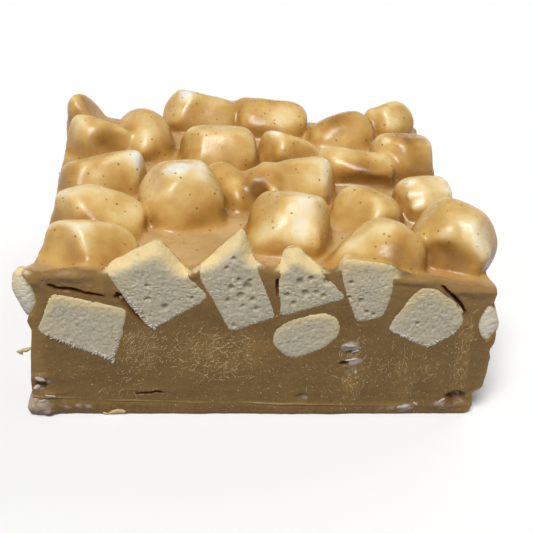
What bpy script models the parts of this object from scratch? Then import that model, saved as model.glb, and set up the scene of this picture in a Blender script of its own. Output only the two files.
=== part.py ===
"""Butterscotch marshmallow square: a cut slab of butterscotch with mini marshmallows set in its top.

Every marshmallow is an object of its own, sunk in a pocket of the slab. Those at the cut sides are
sliced by the same four planes as the slab, and neighbours that would meet are pressed flat.
Layout rows are in millimetres, and MM turns them to metres.
"""

import math
import random
from typing import NamedTuple

import bmesh
import bpy
from mathutils import Euler, Matrix, Vector, noise
from mathutils.bvhtree import BVHTree

MM = 0.001

# Driving dimensions of the slab
SLAB_WIDTH = 83.0 * MM
SLAB_DEPTH = 76.0 * MM
POOL_HEIGHT = 28.1 * MM

# The foot that the pan's paper left round the bottom
FOOT_HEIGHT = 3.0 * MM
FOOT_PROUD = 0.5 * MM
FOOT_ROUND = 0.7 * MM
FOOT_SHOULDER = 0.5 * MM  # height over which the side steps out to the foot

# Cut sides
CORNER_ROUND = 0.5 * MM
CORNER_TIGHT = 16  # power that keeps the rounding close to the corners
SIDE_LEAN = 1.9 * MM  # the left and right cuts lean in toward the pool at their middle
LEAN_FADE = 4  # power that fades the lean out toward the corners
RIGHT_SAG = 1.6 * MM  # the right cut bulges low down
SAG_HEIGHT = 12.0 * MM
SAG_REACH = 7.0 * MM
SIDE_WAVE = 0.45 * MM
SIDE_WAVE_LENGTH = 17.0 * MM
SIDE_WAVE_FLATTEN = 1.6  # how much shorter the waves are up the side than along it
RIM_INSET = 0.6 * MM
SIDE_LEVELS = (0.96, 0.68, 0.36, 0.0)  # shares of the height above the foot

# Where the butterscotch climbs a marshmallow
MENISCUS_RISE = 2.2 * MM
MENISCUS_REACH = 2.0 * MM
WETTED_ABOVE = 26.5  # mm; marshmallows centred lower than this don't reach the pool
POOL_WAVE = 0.5 * MM
POOL_WAVE_LENGTH = 12.0 * MM
POOL_COLUMNS = 21
POOL_ROWS = 19

# Marshmallows
GAP = 0.3 * MM
MEET_REACH = 26.0 * MM  # marshmallows with centres farther apart than this can't meet
BARREL_SIDES = 12
BURIED_SIDES = 8
BARREL_RINGS = 6
DENT = 0.7 * MM
DENT_LENGTH = 7.0 * MM
DENT_SHIFTS = (Vector((0.0, 0.0, 0.0)), Vector((9.1, 0.0, 0.0)), Vector((0.0, 9.1, 0.0)))
DENT_OFFSET = Vector((3.7, 1.3, 0.0))  # so that no two marshmallows are dented alike
CUT_PROUD = 0.15 * MM  # a sliced marshmallow swells just past the butterscotch
MERGE = 0.02 * MM  # points nearer than this after a cut are one
ON_EDGE = 0.999  # share of the way to a cut that counts as on it
SHARP_ANGLE = math.radians(50)

BUTTERSCOTCH_COLOUR = (0.262, 0.153, 0.062, 1.0)
COATED_COLOUR = (0.660, 0.400, 0.150, 1.0)
CRUMB_COLOUR = (0.700, 0.660, 0.560, 1.0)


class Marshmallow(NamedTuple):
    """One marshmallow: a soft barrel whose long axis is its local X."""

    name: str
    place: tuple  # centre, mm
    size: tuple  # length, width and height across the barrel, mm
    turn: tuple  # yaw, pitch that lifts the +X end, and roll, degrees
    fullness: float = 3.2  # 2 is an ellipsoid, and higher is nearer a plain cylinder
    taper: float = 0.0  # how much narrower the +X end is
    sliced: bool = True  # False where it hangs past the left or right cut instead


# Coated marshmallows on top, from the back row to the front row
TOP = [
    Marshmallow("top_back_spike", (-34.6, 32.0, 29.6), (14.5, 10, 9), (-25, -42, 0), 2.6, -0.2),
    Marshmallow("top_back_left", (-10.0, 34.0, 30.4), (17.5, 12, 12), (-3, -8, 0)),
    Marshmallow("top_back_middle", (6.2, 32.0, 30.0), (16, 11.5, 10.5), (-2, -3, 0)),
    Marshmallow("top_back_right", (21.4, 26.8, 29.0), (14.5, 12, 11), (18, 6, 0)),
    Marshmallow("top_back_corner", (33.4, 31.0, 30.6), (11, 9, 10), (35, 10, 0), 2.6),
    Marshmallow("top_left_ridge", (-31.6, 18.5, 29.2), (17, 13, 13), (-28, -17, 0)),
    Marshmallow("top_left_dome", (-22.6, 20.5, 29.4), (16, 12, 12), (-82, -12, 0)),
    Marshmallow("top_middle_dome", (-6.6, 14.2, 29.9), (16.5, 13.5, 13), (0, 0, 0), 3.6),
    Marshmallow("top_middle_peak", (9.0, 16.6, 29.2), (14.5, 10.5, 10), (-18, -16, 0), 2.6, 0.2),
    Marshmallow("top_right_crescent", (22.2, 7.2, 29.7), (17, 10, 11), (-14, -4, 0)),
    Marshmallow("top_right_block", (32.6, 11.0, 30.3), (14, 12, 12), (12, -8, 0)),
    Marshmallow("top_left_long", (-30.2, 1.0, 29.2), (18, 12.5, 12.5), (16, 10, 0), 3.4),
    Marshmallow("top_centre_left", (-14.7, -11.2, 31.2), (16, 16, 16), (8, 0, 0), 3.6),
    Marshmallow("top_centre_thin", (-4.8, -3.2, 28.9), (15, 8.5, 10), (-62, -8, 0), 2.8),
    Marshmallow("top_centre_long", (6.9, -3.4, 30.7), (19.5, 13.5, 12), (14, 6, 0)),
    Marshmallow("top_left_sloped", (-30.4, -16.2, 29.6), (18, 12.5, 12), (-18, -9, 0)),
    Marshmallow("top_right_low", (21.8, -12.5, 29.6), (14, 12.5, 10), (-68, 0, 0), 2.6),
    Marshmallow("top_right_banded", (34.4, -8.3, 30.3), (13, 11, 10), (14, -6, 0)),
    Marshmallow("top_centre_bright", (5.3, -21.6, 31.1), (15.5, 14, 14), (-12, 0, 0), 3.8),
    Marshmallow("top_front_left", (-31.0, -29.0, 29.2), (17.5, 13, 13), (-14, -5, 0), 2.6),
    Marshmallow("top_front_right", (35.2, -26.6, 30.7), (14.6, 13.6, 14.2), (-35, -12, 0), 3.2, 0.0, False),
    Marshmallow("top_front_dome", (20.5, -31.6, 28.3), (18.5, 16, 13), (38, 34, 0), 2.8),
]

# Marshmallows sliced by the front cut
FRONT = [
    Marshmallow("front_1", (-32.2, -35.4, 18.5), (15, 11, 12.8), (0, -17, 0), 7.0),
    Marshmallow("front_2", (-18.3, -37.9, 27.2), (15.5, 10, 11), (0, -49, 0), 7.0, -0.16),
    Marshmallow("front_3", (-4.4, -36.4, 27.0), (17, 11, 10.4), (0, -69, 0), 7.0),
    Marshmallow("front_4", (8.4, -36.0, 27.2), (12.5, 11, 12), (0, 14, 0), 3.0),
    Marshmallow("front_5", (8.2, -35.4, 16.8), (15.2, 10, 9.8), (0, 14, 0), 3.0),
    Marshmallow("front_6", (29.8, -35.2, 20.7), (14, 12, 12.4), (0, 22, 0), 2.8),
]

# Marshmallows that squeeze out at the ends of the front cut
SIDE = [
    Marshmallow("left_bulge", (-41.2, -34.2, 26.4), (10.4, 8.4, 6.8), (0, 97, 0), 3.0, 0.2, False),
    Marshmallow("right_bulge", (40.9, -34.4, 20.2), (9.4, 8, 6.2), (0, 84, 0), 3.0, 0.2, False),
]

# Marshmallows that only the other three cuts show: how many, and the heights they lie between
HIDDEN_SEED = 14
HIDDEN_LOW = 14.0
HIDDEN_HIGH = 21.5
HIDDEN_DEPTH = 1.2  # mm from the cut to a marshmallow's middle
HIDDEN_FULLNESS = 5.0
HIDDEN_SLIDE = 1.5  # mm that each may lie off its even place in the row
HIDDEN_LENGTH = (13.0, 15.0)
HIDDEN_WIDTH = (10.0, 12.0)
HIDDEN_THICKNESS = (9.5, 11.5)
HIDDEN_TILT = 60.0  # degrees either way


def clear_scene():
    for item in list(bpy.data.objects):
        bpy.data.objects.remove(item)


def new_collection(name):
    collection = bpy.data.collections.new(name)
    bpy.context.scene.collection.children.link(collection)
    return collection


def food_material(name, colour, roughness):
    material = bpy.data.materials.new(name)
    material.use_nodes = True
    shader = material.node_tree.nodes["Principled BSDF"]
    shader.inputs["Base Color"].default_value = colour
    shader.inputs["Roughness"].default_value = roughness
    shader.inputs["Metallic"].default_value = 0.0
    return material


def hidden_row(side, count, along, across, faces_x):
    """Sliced marshmallows spread along one of the cuts that face away from the front."""
    draw = random.Random(HIDDEN_SEED + len(side) + count)
    row = []
    for index in range(count):
        step = (index + 0.5) / count * 2 - 1
        slide = step * along + draw.uniform(-HIDDEN_SLIDE, HIDDEN_SLIDE)
        height = draw.uniform(HIDDEN_LOW, HIDDEN_HIGH)
        place = (across, slide, height) if faces_x else (slide, across, height)
        size = tuple(draw.uniform(*limits) for limits in (HIDDEN_LENGTH, HIDDEN_WIDTH, HIDDEN_THICKNESS))
        turn = (90 if faces_x else 0, draw.uniform(-HIDDEN_TILT, HIDDEN_TILT), 0)
        row.append(Marshmallow(f"{side}_{index + 1}", place, size, turn, HIDDEN_FULLNESS))
    return row


def soft_barrel(length, width, height, fullness, taper, sides):
    """A cylinder with soft round rims: each ring of a sphere is moved to a fuller outline."""
    shape = bmesh.new()
    bmesh.ops.create_uvsphere(shape, u_segments=sides, v_segments=BARREL_RINGS, radius=1.0)
    power = 2.0 / fullness
    for vert in shape.verts:
        along = vert.co.z
        across = math.hypot(vert.co.x, vert.co.y)
        swell = across**power / across if across > 1e-6 else 0.0
        full = math.copysign(abs(along) ** power, along)
        narrow = 1.0 - taper * (full + 1.0) / 2.0
        vert.co = Vector((
            full * length / 2,
            vert.co.x * swell * narrow * width / 2,
            vert.co.y * swell * narrow * height / 2,
        ))
    return shape


def dent(shape, offset):
    """Uneven swells and hollows of a hand-stirred marshmallow."""
    for vert in shape.verts:
        place = vert.co / DENT_LENGTH + offset
        push = [noise.noise(place + shift) for shift in DENT_SHIFTS]
        vert.co += Vector(push) * DENT


def slice_off(shape, point, normal):
    """Cuts away what lies past a plane, and closes the cut."""
    parts = shape.verts[:] + shape.edges[:] + shape.faces[:]
    cut = bmesh.ops.bisect_plane(
        shape, geom=parts, dist=1e-6, plane_co=point, plane_no=normal, clear_outer=True
    )
    rim = [item for item in cut["geom_cut"] if isinstance(item, bmesh.types.BMEdge)]
    if rim:
        bmesh.ops.contextual_create(shape, geom=rim)
        bmesh.ops.remove_doubles(shape, verts=shape.verts[:], dist=MERGE)


def side_x(side, y, z):
    """Where the left (-1) or right (1) cut lies at a depth and height."""
    inside = 1.0 - (2 * y / SLAB_DEPTH) ** LEAN_FADE
    across = SLAB_WIDTH / 2 - SIDE_LEAN * inside * z / POOL_HEIGHT
    if side > 0:
        across += RIGHT_SAG * math.exp(-(((z - SAG_HEIGHT) / SAG_REACH) ** 2))
    return side * across


def cut_planes(centre, sliced):
    """Point and outward normal of each cut that slices a marshmallow."""
    planes = []
    for side in (-1, 1):
        planes.append((Vector((0, side * (SLAB_DEPTH / 2 + CUT_PROUD), 0)), Vector((0, side, 0))))
        if not sliced:
            continue
        x = side_x(side, centre.y, centre.z)
        slope_y = (side_x(side, centre.y + MM, centre.z) - x) / MM
        slope_z = (side_x(side, centre.y, centre.z + MM) - x) / MM
        normal = Vector((side, -side * slope_y, -side * slope_z)).normalized()
        planes.append((Vector((x + side * CUT_PROUD, centre.y, centre.z)), normal))
    return planes


class Sweet:
    """A marshmallow as it is worked: its row, its mesh in the slab's frame, and its pocket."""

    def __init__(self, row, index, buried):
        self.row = row
        yaw, pitch, roll = (math.radians(angle) for angle in row.turn)
        self.centre = Vector(row.place) * MM
        self.matrix = Matrix.Translation(self.centre) @ Euler((roll, -pitch, yaw)).to_matrix().to_4x4()
        self.sides = BURIED_SIDES if buried else BARREL_SIDES
        self.offset = DENT_OFFSET * index
        self.shape = self.barrel(0.0)
        self.pocket = self.barrel(2 * GAP)

    def barrel(self, grow):
        """The marshmallow's outside, or its pocket's where it is grown by the gap."""
        row = self.row
        length, width, height = (value * MM + grow for value in row.size)
        shape = soft_barrel(length, width, height, row.fullness, row.taper, self.sides)
        dent(shape, self.offset)
        shape.transform(self.matrix)
        return shape

    def reach(self, direction):
        """How far the marshmallow extends from its centre in a direction."""
        return max((vert.co - self.centre).dot(direction) for vert in self.shape.verts)


def press_together(one, other):
    """Where two marshmallows would meet, both are flattened at a plane between them."""
    if (one.centre - other.centre).length > MEET_REACH:
        return
    near = BVHTree.FromBMesh(one.pocket).overlap(BVHTree.FromBMesh(other.pocket))
    if not near:
        return
    direction = other.centre - one.centre
    distance = direction.length
    direction.normalize()
    mine = one.reach(direction)
    theirs = other.reach(-direction)
    depth = mine + theirs - distance
    if depth < -GAP:
        return
    meet = one.centre + direction * (mine - depth / 2)
    slice_off(one.shape, meet - direction * GAP / 2, direction)
    slice_off(other.shape, meet + direction * GAP / 2, -direction)


def mesh_object(name, shape, collection, material, origin=None):
    """Makes an object whose origin is at a point, from a mesh in the slab's frame."""
    if origin is not None:
        shape.transform(Matrix.Translation(-origin))
    bmesh.ops.triangulate(shape, faces=shape.faces[:])
    bmesh.ops.recalc_face_normals(shape, faces=shape.faces[:])
    mesh = bpy.data.meshes.new(name)
    shape.to_mesh(mesh)
    item = bpy.data.objects.new(name, mesh)
    collection.objects.link(item)
    if origin is not None:
        item.location = origin
    if material is not None:
        mesh.materials.append(material)
    mesh.shade_smooth()
    mesh.set_sharp_from_angle(angle=SHARP_ANGLE)
    return item


def plan_gap(point, sweet):
    """Distance in plan from a point to the side of a marshmallow, less than 0 under it."""
    axis = sweet.matrix.to_3x3() @ Vector((1, 0, 0))
    length, width, _ = (value * MM for value in sweet.row.size)
    half = Vector((axis.x, axis.y)) * (length / 2 - width / 3)
    start = Vector((sweet.centre.x, sweet.centre.y)) - half
    along = 0.0
    if half.length > 1e-6:
        along = (Vector(point) - start).dot(half * 2) / (half * 2).length_squared
    nearest = start + half * 2 * min(1.0, max(0.0, along))
    return (Vector(point) - nearest).length - width / 2


def pool_height(x, y, sweets):
    """The set surface of the butterscotch, which climbs where it wets a marshmallow."""
    height = POOL_HEIGHT
    height += noise.noise(Vector((x, y, 0)) / POOL_WAVE_LENGTH) * POOL_WAVE
    climb = 0.0
    for sweet in sweets:
        gap = max(0.0, plan_gap((x, y), sweet))
        climb = max(climb, math.exp(-gap / MENISCUS_REACH))
    return height + climb * MENISCUS_RISE


def side_wave(x, y, z):
    """How far the knife wandered at a place on the sides."""
    return noise.noise(Vector((x, y, z * SIDE_WAVE_FLATTEN)) / SIDE_WAVE_LENGTH) * SIDE_WAVE


def slab_point(u, v, height):
    """Place of a point of the slab, where u and v run from -1 to 1 between the cuts."""
    y = v * (SLAB_DEPTH / 2 - CORNER_ROUND * abs(u) ** CORNER_TIGHT)
    middle = (side_x(1, y, height) + side_x(-1, y, height)) / 2
    half = (side_x(1, y, height) - side_x(-1, y, height)) / 2
    return Vector((middle + u * (half - CORNER_ROUND * abs(v) ** CORNER_TIGHT), y, height))


def outward_of(u, v):
    """Outward direction in plan at a place on the rim, diagonal at the corners."""
    out = Vector((0, 0, 0))
    if abs(u) > ON_EDGE:
        out.x = math.copysign(1, u)
    if abs(v) > ON_EDGE:
        out.y = math.copysign(1, v)
    return out.normalized()


def make_slab(sweets, collection, material):
    """The butterscotch: a grid for the pool, drawn down the sides in rings, and a flat base."""
    slab = bmesh.new()
    bmesh.ops.create_grid(slab, x_segments=POOL_COLUMNS, y_segments=POOL_ROWS, size=0.5)
    rim = [edge for edge in slab.edges if edge.is_boundary]
    starts = {}
    for vert in slab.verts:
        u, v = vert.co.x * 2, vert.co.y * 2
        place = slab_point(u, v, POOL_HEIGHT)
        place.z = pool_height(place.x, place.y, sweets)
        vert.co = place
        if vert.is_boundary:
            starts[vert] = (u, v, place.z)
            vert.co -= outward_of(u, v) * RIM_INSET
    steps = [(share, None, 0.0) for share in SIDE_LEVELS]
    steps += [(0.0, FOOT_HEIGHT - FOOT_SHOULDER, FOOT_PROUD), (0.0, FOOT_ROUND, FOOT_PROUD)]
    steps += [(0.0, 0.0, FOOT_PROUD - FOOT_ROUND)]
    for share, level, proud in steps:
        made = bmesh.ops.extrude_edge_only(slab, edges=rim)["geom"]
        rim = [item for item in made if isinstance(item, bmesh.types.BMEdge) and item.is_boundary]
        lower = {}
        for vert in {vert for edge in rim for vert in edge.verts}:
            above = next(
                edge.other_vert(vert) for edge in vert.link_edges if edge.other_vert(vert) in starts
            )
            u, v, top = starts[above]
            height = level if level is not None else FOOT_HEIGHT + (top - FOOT_HEIGHT) * share
            vert.co = slab_point(u, v, height)
            move = proud + (side_wave(*vert.co) if level is None else 0.0)
            vert.co += outward_of(u, v) * move
            lower[vert] = (u, v, top)
        starts = lower
    bmesh.ops.contextual_create(slab, geom=rim)
    return mesh_object("butterscotch", slab, collection, material)


def largest_body(mesh):
    """Drops the loose scraps that cutting pockets can leave."""
    shape = bmesh.new()
    shape.from_mesh(mesh)
    left = set(shape.verts)
    bodies = []
    while left:
        stack = [left.pop()]
        body = set(stack)
        while stack:
            for edge in stack.pop().link_edges:
                for vert in edge.verts:
                    if vert not in body:
                        body.add(vert)
                        left.discard(vert)
                        stack.append(vert)
        bodies.append(body)
    bodies.sort(key=len)
    for scrap in bodies[:-1]:
        bmesh.ops.delete(shape, geom=list(scrap), context="VERTS")
    shape.to_mesh(mesh)
    shape.free()


def cut_pockets(slab, sweets, cutters):
    """Takes each marshmallow's pocket out of the slab."""
    for sweet in sweets:
        cutter = mesh_object(f"pocket_{sweet.row.name}", sweet.pocket, cutters, None)
        cutter.hide_render = True
        cutter.display_type = "WIRE"
    cut = slab.modifiers.new("pockets", "BOOLEAN")
    cut.operation = "DIFFERENCE"
    cut.operand_type = "COLLECTION"
    cut.collection = cutters
    cut.solver = "EXACT"
    graph = bpy.context.evaluated_depsgraph_get()
    carved = bpy.data.meshes.new_from_object(slab.evaluated_get(graph))
    slab.modifiers.clear()
    slab.data = carved
    largest_body(carved)


def main():
    clear_scene()
    sweets_collection = new_collection("butterscotch_marshmallow_square")
    cutters = new_collection("pocket_cutters")
    butterscotch = food_material("butterscotch_fudge", BUTTERSCOTCH_COLOUR, 0.55)
    coated = food_material("butterscotch_coated_marshmallow", COATED_COLOUR, 0.25)
    crumb = food_material("sliced_marshmallow", CRUMB_COLOUR, 0.85)

    left, right = (side_x(side, 0.0, HIDDEN_LOW * MM) / MM for side in (-1, 1))
    hidden = hidden_row("back", 5, 34.0, SLAB_DEPTH / 2 / MM - HIDDEN_DEPTH, False)
    hidden += hidden_row("left", 4, 27.0, left + HIDDEN_DEPTH, True)
    hidden += hidden_row("right", 4, 27.0, right - HIDDEN_DEPTH, True)

    rows = TOP + FRONT + SIDE + hidden
    sweets = [Sweet(row, index, row in hidden) for index, row in enumerate(rows)]
    for index, one in enumerate(sweets):
        for other in sweets[index + 1:]:
            press_together(one, other)
    for sweet in sweets:
        for point, normal in cut_planes(sweet.centre, sweet.row.sliced):
            slice_off(sweet.shape, point, normal)

    frame = bpy.data.objects.new("square_origin", None)
    sweets_collection.objects.link(frame)
    wetted = [sweet for sweet in sweets if sweet.row.place[2] > WETTED_ABOVE]
    slab = make_slab(wetted, sweets_collection, butterscotch)
    slab.parent = frame
    cut_pockets(slab, sweets, cutters)
    for sweet in sweets:
        material = coated if sweet.row in TOP else crumb
        item = mesh_object(
            f"marshmallow_{sweet.row.name}", sweet.shape, sweets_collection, material, sweet.centre
        )
        item.parent = frame


main()
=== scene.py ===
"""Looks of the butterscotch marshmallow square, laid out as a Blender add-on and run as a script.

The butterscotch is worked out as a distance in millimetres from its surface. The pool climbs each
marshmallow in a smooth meniscus, a fine knife cut bares the front, and the foam of the sliced
marshmallows stands a little proud of that cut.
"""

import itertools
import math
import random
from typing import NamedTuple

import bmesh
import bpy
import numpy as np
from mathutils import Euler, Matrix, Vector


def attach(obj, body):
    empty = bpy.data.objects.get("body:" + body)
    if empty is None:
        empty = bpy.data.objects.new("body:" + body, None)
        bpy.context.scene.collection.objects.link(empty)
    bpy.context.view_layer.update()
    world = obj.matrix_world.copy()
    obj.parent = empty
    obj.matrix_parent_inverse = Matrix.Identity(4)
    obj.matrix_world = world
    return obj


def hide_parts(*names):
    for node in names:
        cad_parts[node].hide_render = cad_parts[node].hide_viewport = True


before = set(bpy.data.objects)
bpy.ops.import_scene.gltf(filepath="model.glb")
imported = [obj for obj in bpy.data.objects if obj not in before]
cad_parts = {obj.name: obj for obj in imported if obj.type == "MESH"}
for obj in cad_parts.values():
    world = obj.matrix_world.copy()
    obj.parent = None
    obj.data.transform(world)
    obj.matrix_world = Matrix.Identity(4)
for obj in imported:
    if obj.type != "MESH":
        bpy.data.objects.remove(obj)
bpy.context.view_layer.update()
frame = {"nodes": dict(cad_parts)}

bl_info = {
    "name": "Butterscotch Marshmallow Square",
    "version": (1, 0, 0),
    "blender": (4, 5, 0),
    "location": "3D View > Sidebar > Marshmallow Square",
    "description": "Builds a cut square of butterscotch with mini marshmallows set in its top",
    "category": "Add Mesh",
}

MM = 0.001
BODY = "root"

# The slab, as the solids have it, mm
SLAB_WIDTH = 83.0
SLAB_DEPTH = 76.0
POOL_HEIGHT = 28.1
SIDE_LEAN = 1.9
RIGHT_SAG = 1.6
SAG_HEIGHT = 12.0
SAG_REACH = 7.0
FOOT_HEIGHT = 2.7
FOOT_PROUD = 0.5
FOOT_ROUND = 0.9
FOOT_FADE = 0.36  # how far up the foot's top edge fades
FRONT = -SLAB_DEPTH / 2
OVERCUT = 2.2  # how far the blank reaches past the front cut before the knife
HIGHEST = 44.0  # above the top of the tallest marshmallow


class Sweet(NamedTuple):
    """A marshmallow: a soft barrel whose long axis is its local X. Millimetres and degrees."""

    node: str
    place: tuple
    size: tuple
    turn: tuple  # yaw, pitch that lifts the +X end, and roll
    fullness: float = 3.2
    taper: float = 0.0


# Coated marshmallows on top, from the back row to the front row
TOP = [
    Sweet("top_back_spike", (-34.6, 32.0, 29.6), (14.5, 10, 9), (-25, -42, 0), 2.6, -0.2),
    Sweet("top_back_left", (-10.0, 34.0, 30.4), (17.5, 12, 12), (-3, -8, 0)),
    Sweet("top_back_middle", (6.2, 32.0, 30.0), (16, 11.5, 10.5), (-2, -3, 0)),
    Sweet("top_back_right", (21.4, 26.8, 29.0), (14.5, 12, 11), (18, 6, 0)),
    Sweet("top_back_corner", (33.4, 31.0, 30.6), (11, 9, 10), (35, 10, 0), 2.6),
    Sweet("top_left_ridge", (-31.6, 18.5, 29.2), (17, 13, 13), (-28, -17, 0)),
    Sweet("top_left_dome", (-22.6, 20.5, 29.4), (16, 12, 12), (-82, -12, 0)),
    Sweet("top_middle_dome", (-6.6, 14.2, 29.9), (16.5, 13.5, 13), (0, 0, 0), 3.0),
    Sweet("top_middle_peak", (9.0, 16.6, 29.2), (14.5, 10.5, 10), (-18, -16, 0), 2.6, 0.2),
    Sweet("top_right_crescent", (21.8, 6.8, 29.6), (17, 10, 11), (-19, -4, 0)),
    Sweet("top_right_block", (32.9, 11.2, 30.8), (14, 12, 12), (12, -8, 0)),
    Sweet("top_left_long", (-30.2, 1.0, 29.2), (18, 12.5, 12.5), (16, 10, 0), 3.4),
    Sweet("top_centre_left", (-14.7, -11.2, 31.2), (16, 16, 16), (8, 0, 0), 3.6),
    Sweet("top_centre_thin", (-4.8, -3.2, 28.9), (15, 8.5, 10), (-62, -8, 0), 2.8),
    Sweet("top_centre_long", (6.9, -3.4, 30.7), (19.5, 13.5, 12), (14, 6, 0)),
    Sweet("top_left_sloped", (-30.4, -16.2, 29.6), (18, 12.5, 12), (-18, -9, 0)),
    Sweet("top_right_low", (21.8, -12.5, 29.6), (14, 12.5, 10), (-68, 0, 0), 2.6),
    Sweet("top_right_banded", (34.4, -8.3, 30.3), (13, 11, 10), (14, -6, 0)),
    Sweet("top_centre_bright", (5.3, -21.6, 31.1), (15.5, 14, 14), (-12, 0, 0), 3.8),
    Sweet("top_front_left", (-31.0, -29.0, 29.2), (17.5, 13, 13), (-14, -5, 0), 2.6),
    Sweet("top_front_dome", (20.5, -31.6, 28.3), (18.5, 16, 13), (38, 34, 0), 2.8),
]
OVERHANGING = Sweet("top_front_right", (35.7, -26.8, 31.3), (15.6, 14.2, 15.0), (-35, -12, 0), 3.2)

# Flats where a marshmallow was pressed or folded: the way each faces, how deep it goes into the barrel,
# and how soft the ridge round it is, mm
FACETS = {
    "top_back_spike": [((0.8, -0.15, 0.6), 3.4, 2.0), ((-0.3, -0.9, 0.3), 1.0, 1.2)],
    "top_back_left": [
        ((-0.74, -0.3, 0.6), 2.2, 0.6), ((0.08, -0.8, 0.6), 1.5, 1.0), ((0.22, 0.3, 0.93), 1.0, 0.8),
    ],
    "top_back_middle": [((0.0, -0.6, 0.8), 0.7, 1.4)],
    "top_back_right": [((-0.1, -0.8, 0.6), 1.2, 2.0), ((-0.5, 0.1, 0.86), 0.8, 2.4)],
    "top_back_corner": [((0.45, -0.6, 0.66), 1.1, 0.7), ((-0.5, -0.7, 0.5), 0.9, 0.8)],
    "top_left_ridge": [
        ((0.22, -0.86, 0.46), 2.4, 0.8), ((-0.8, -0.52, 0.3), 1.6, 0.7), ((0.34, 0.5, 0.8), 1.8, 0.9),
    ],
    "top_left_dome": [((-0.75, -0.4, 0.52), 1.4, 0.9), ((0.7, -0.6, 0.4), 0.9, 1.2)],
    "top_middle_dome": [
        ((0.0, -0.82, 0.57), 1.2, 1.1), ((0.0, 0.1, 0.99), 0.5, 0.7), ((-0.8, -0.4, 0.45), 1.5, 1.0),
    ],
    "top_middle_peak": [
        ((0.4, -0.7, 0.6), 2.0, 0.7), ((-0.78, -0.42, 0.46), 1.8, 0.8), ((0.3, 0.6, 0.74), 1.6, 0.9),
    ],
    "top_right_crescent": [((0.1, -0.3, 0.95), 1.1, 1.2), ((0.1, 0.7, 0.7), 1.2, 1.0)],
    "top_right_block": [
        ((-0.5, -0.72, 0.48), 1.5, 1.0), ((0.95, -0.25, 0.2), 0.7, 0.6), ((0.1, 0.1, 0.99), 1.0, 0.6),
    ],
    "top_left_long": [
        ((0.93, -0.3, 0.14), 1.7, 0.5), ((0.2, -0.82, 0.53), 1.5, 1.0), ((-0.2, 0.3, 0.93), 1.0, 0.8),
        ((-0.7, -0.5, 0.5), 1.2, 1.1),
    ],
    "top_left_sloped": [
        ((0.3, -0.55, 0.78), 1.7, 0.9), ((-0.74, -0.6, 0.3), 1.9, 0.8), ((-0.3, 0.3, 0.9), 0.9, 0.7),
    ],
    "top_front_left": [
        ((-0.62, -0.7, 0.35), 2.6, 0.5), ((0.44, -0.62, 0.65), 2.6, 0.8), ((0.0, 0.6, 0.8), 1.0, 1.0),
    ],
    "top_centre_left": [
        ((-0.05, 0.15, 0.99), 0.7, 0.4), ((-0.74, -0.2, 0.64), 2.6, 1.2), ((-0.5, -0.86, 0.1), 1.4, 1.3),
        ((0.3, -0.9, 0.3), 1.2, 1.3), ((0.8, 0.1, 0.6), 1.4, 1.0),
    ],
    "top_centre_thin": [((0.7, -0.4, 0.6), 0.9, 0.7)],
    "top_centre_long": [
        ((0.1, -0.72, 0.68), 1.5, 1.3), ((0.85, -0.4, 0.33), 1.5, 0.7), ((-0.2, 0.4, 0.9), 0.8, 1.0),
    ],
    "top_centre_bright": [
        ((-0.76, -0.2, 0.62), 3.2, 1.1), ((0.06, -0.74, 0.67), 1.2, 0.8), ((0.84, -0.36, 0.4), 1.3, 0.9),
        ((0.05, 0.3, 0.95), 0.6, 0.5),
    ],
    "top_right_low": [((-0.66, -0.42, 0.62), 1.7, 0.7), ((0.3, 0.5, 0.8), 0.7, 1.0)],
    "top_right_banded": [((-0.7, -0.5, 0.5), 0.9, 1.0)],
    "top_front_right": [
        ((-0.5, -0.8, 0.34), 1.8, 1.0), ((0.78, -0.42, 0.46), 1.9, 0.9), ((0.1, -0.1, 0.99), 0.4, 0.8),
        ((-0.74, 0.1, 0.66), 1.6, 1.2),
    ],
    "top_front_dome": [((-0.55, -0.6, 0.58), 1.0, 1.4)],
}

# Ridges raised on a marshmallow: both ends, the radius at each, and how far the ridge blends in
RIDGES = {
    "top_back_middle": [((0.0, 36.0, 31.8), (11.6, 35.4, 30.6), 2.6, 1.8, 2.2)],
    "top_back_corner": [((29.4, 31.6, 32.4), (29.8, 29.6, 31.0), 1.8, 1.6, 0.8)],
    "top_right_block": [
        ((28.6, 9.8, 35.4), (32.0, 10.6, 35.7), 0.5, 0.6, 1.0),
        ((31.6, 9.4, 35.5), (36.0, 11.4, 35.0), 0.6, 0.4, 1.0),
    ],
    "top_centre_long": [((2.2, -2.6, 34.4), (3.4, -9.6, 32.6), 0.5, 0.4, 2.6)],
    "top_right_banded": [
        ((30.6, -9.4, 34.3), (37.8, -7.6, 34.2), 0.6, 0.5, 1.2),
        ((30.4, -11.8, 33.3), (39.0, -10.2, 33.4), 0.6, 0.6, 1.2),
        ((31.0, -13.4, 31.7), (39.6, -12.2, 31.9), 0.6, 0.6, 1.2),
    ],
    "top_front_right": [
        ((29.0, -29.4, 32.8), (33.4, -30.6, 35.0), 0.6, 0.6, 2.8),
        ((33.4, -30.6, 35.0), (39.6, -32.6, 32.0), 0.6, 0.5, 2.8),
    ],
}

# Hollows pressed into a marshmallow, in the same way
HOLLOWS = {
    "top_right_crescent": [((16.6, -0.2, 29.8), (28.4, -0.8, 29.4), 2.8, 2.6, 1.0)],
    "top_centre_long": [((-0.6, -11.0, 34.0), (0.4, -11.4, 31.0), 3.0, 2.6, 1.2)],
    "top_front_right": [((32.2, -36.4, 31.4), (36.4, -37.0, 30.8), 3.4, 3.0, 2.4)],
    "top_centre_left": [((-12.0, -20.6, 29.4), (-10.4, -20.4, 29.4), 2.1, 1.9, 0.9)],
    "top_back_left": [((-3.6, 27.2, 33.6), (-1.8, 28.6, 33.2), 1.4, 1.4, 1.4)],
    "top_left_sloped": [((-27.4, -23.4, 34.6), (-24.4, -24.0, 33.0), 2.2, 2.0, 2.0)],
    "top_left_long": [((-30.8, -7.0, 33.2), (-26.6, -6.4, 33.8), 1.6, 1.6, 1.6)],
}

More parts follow.
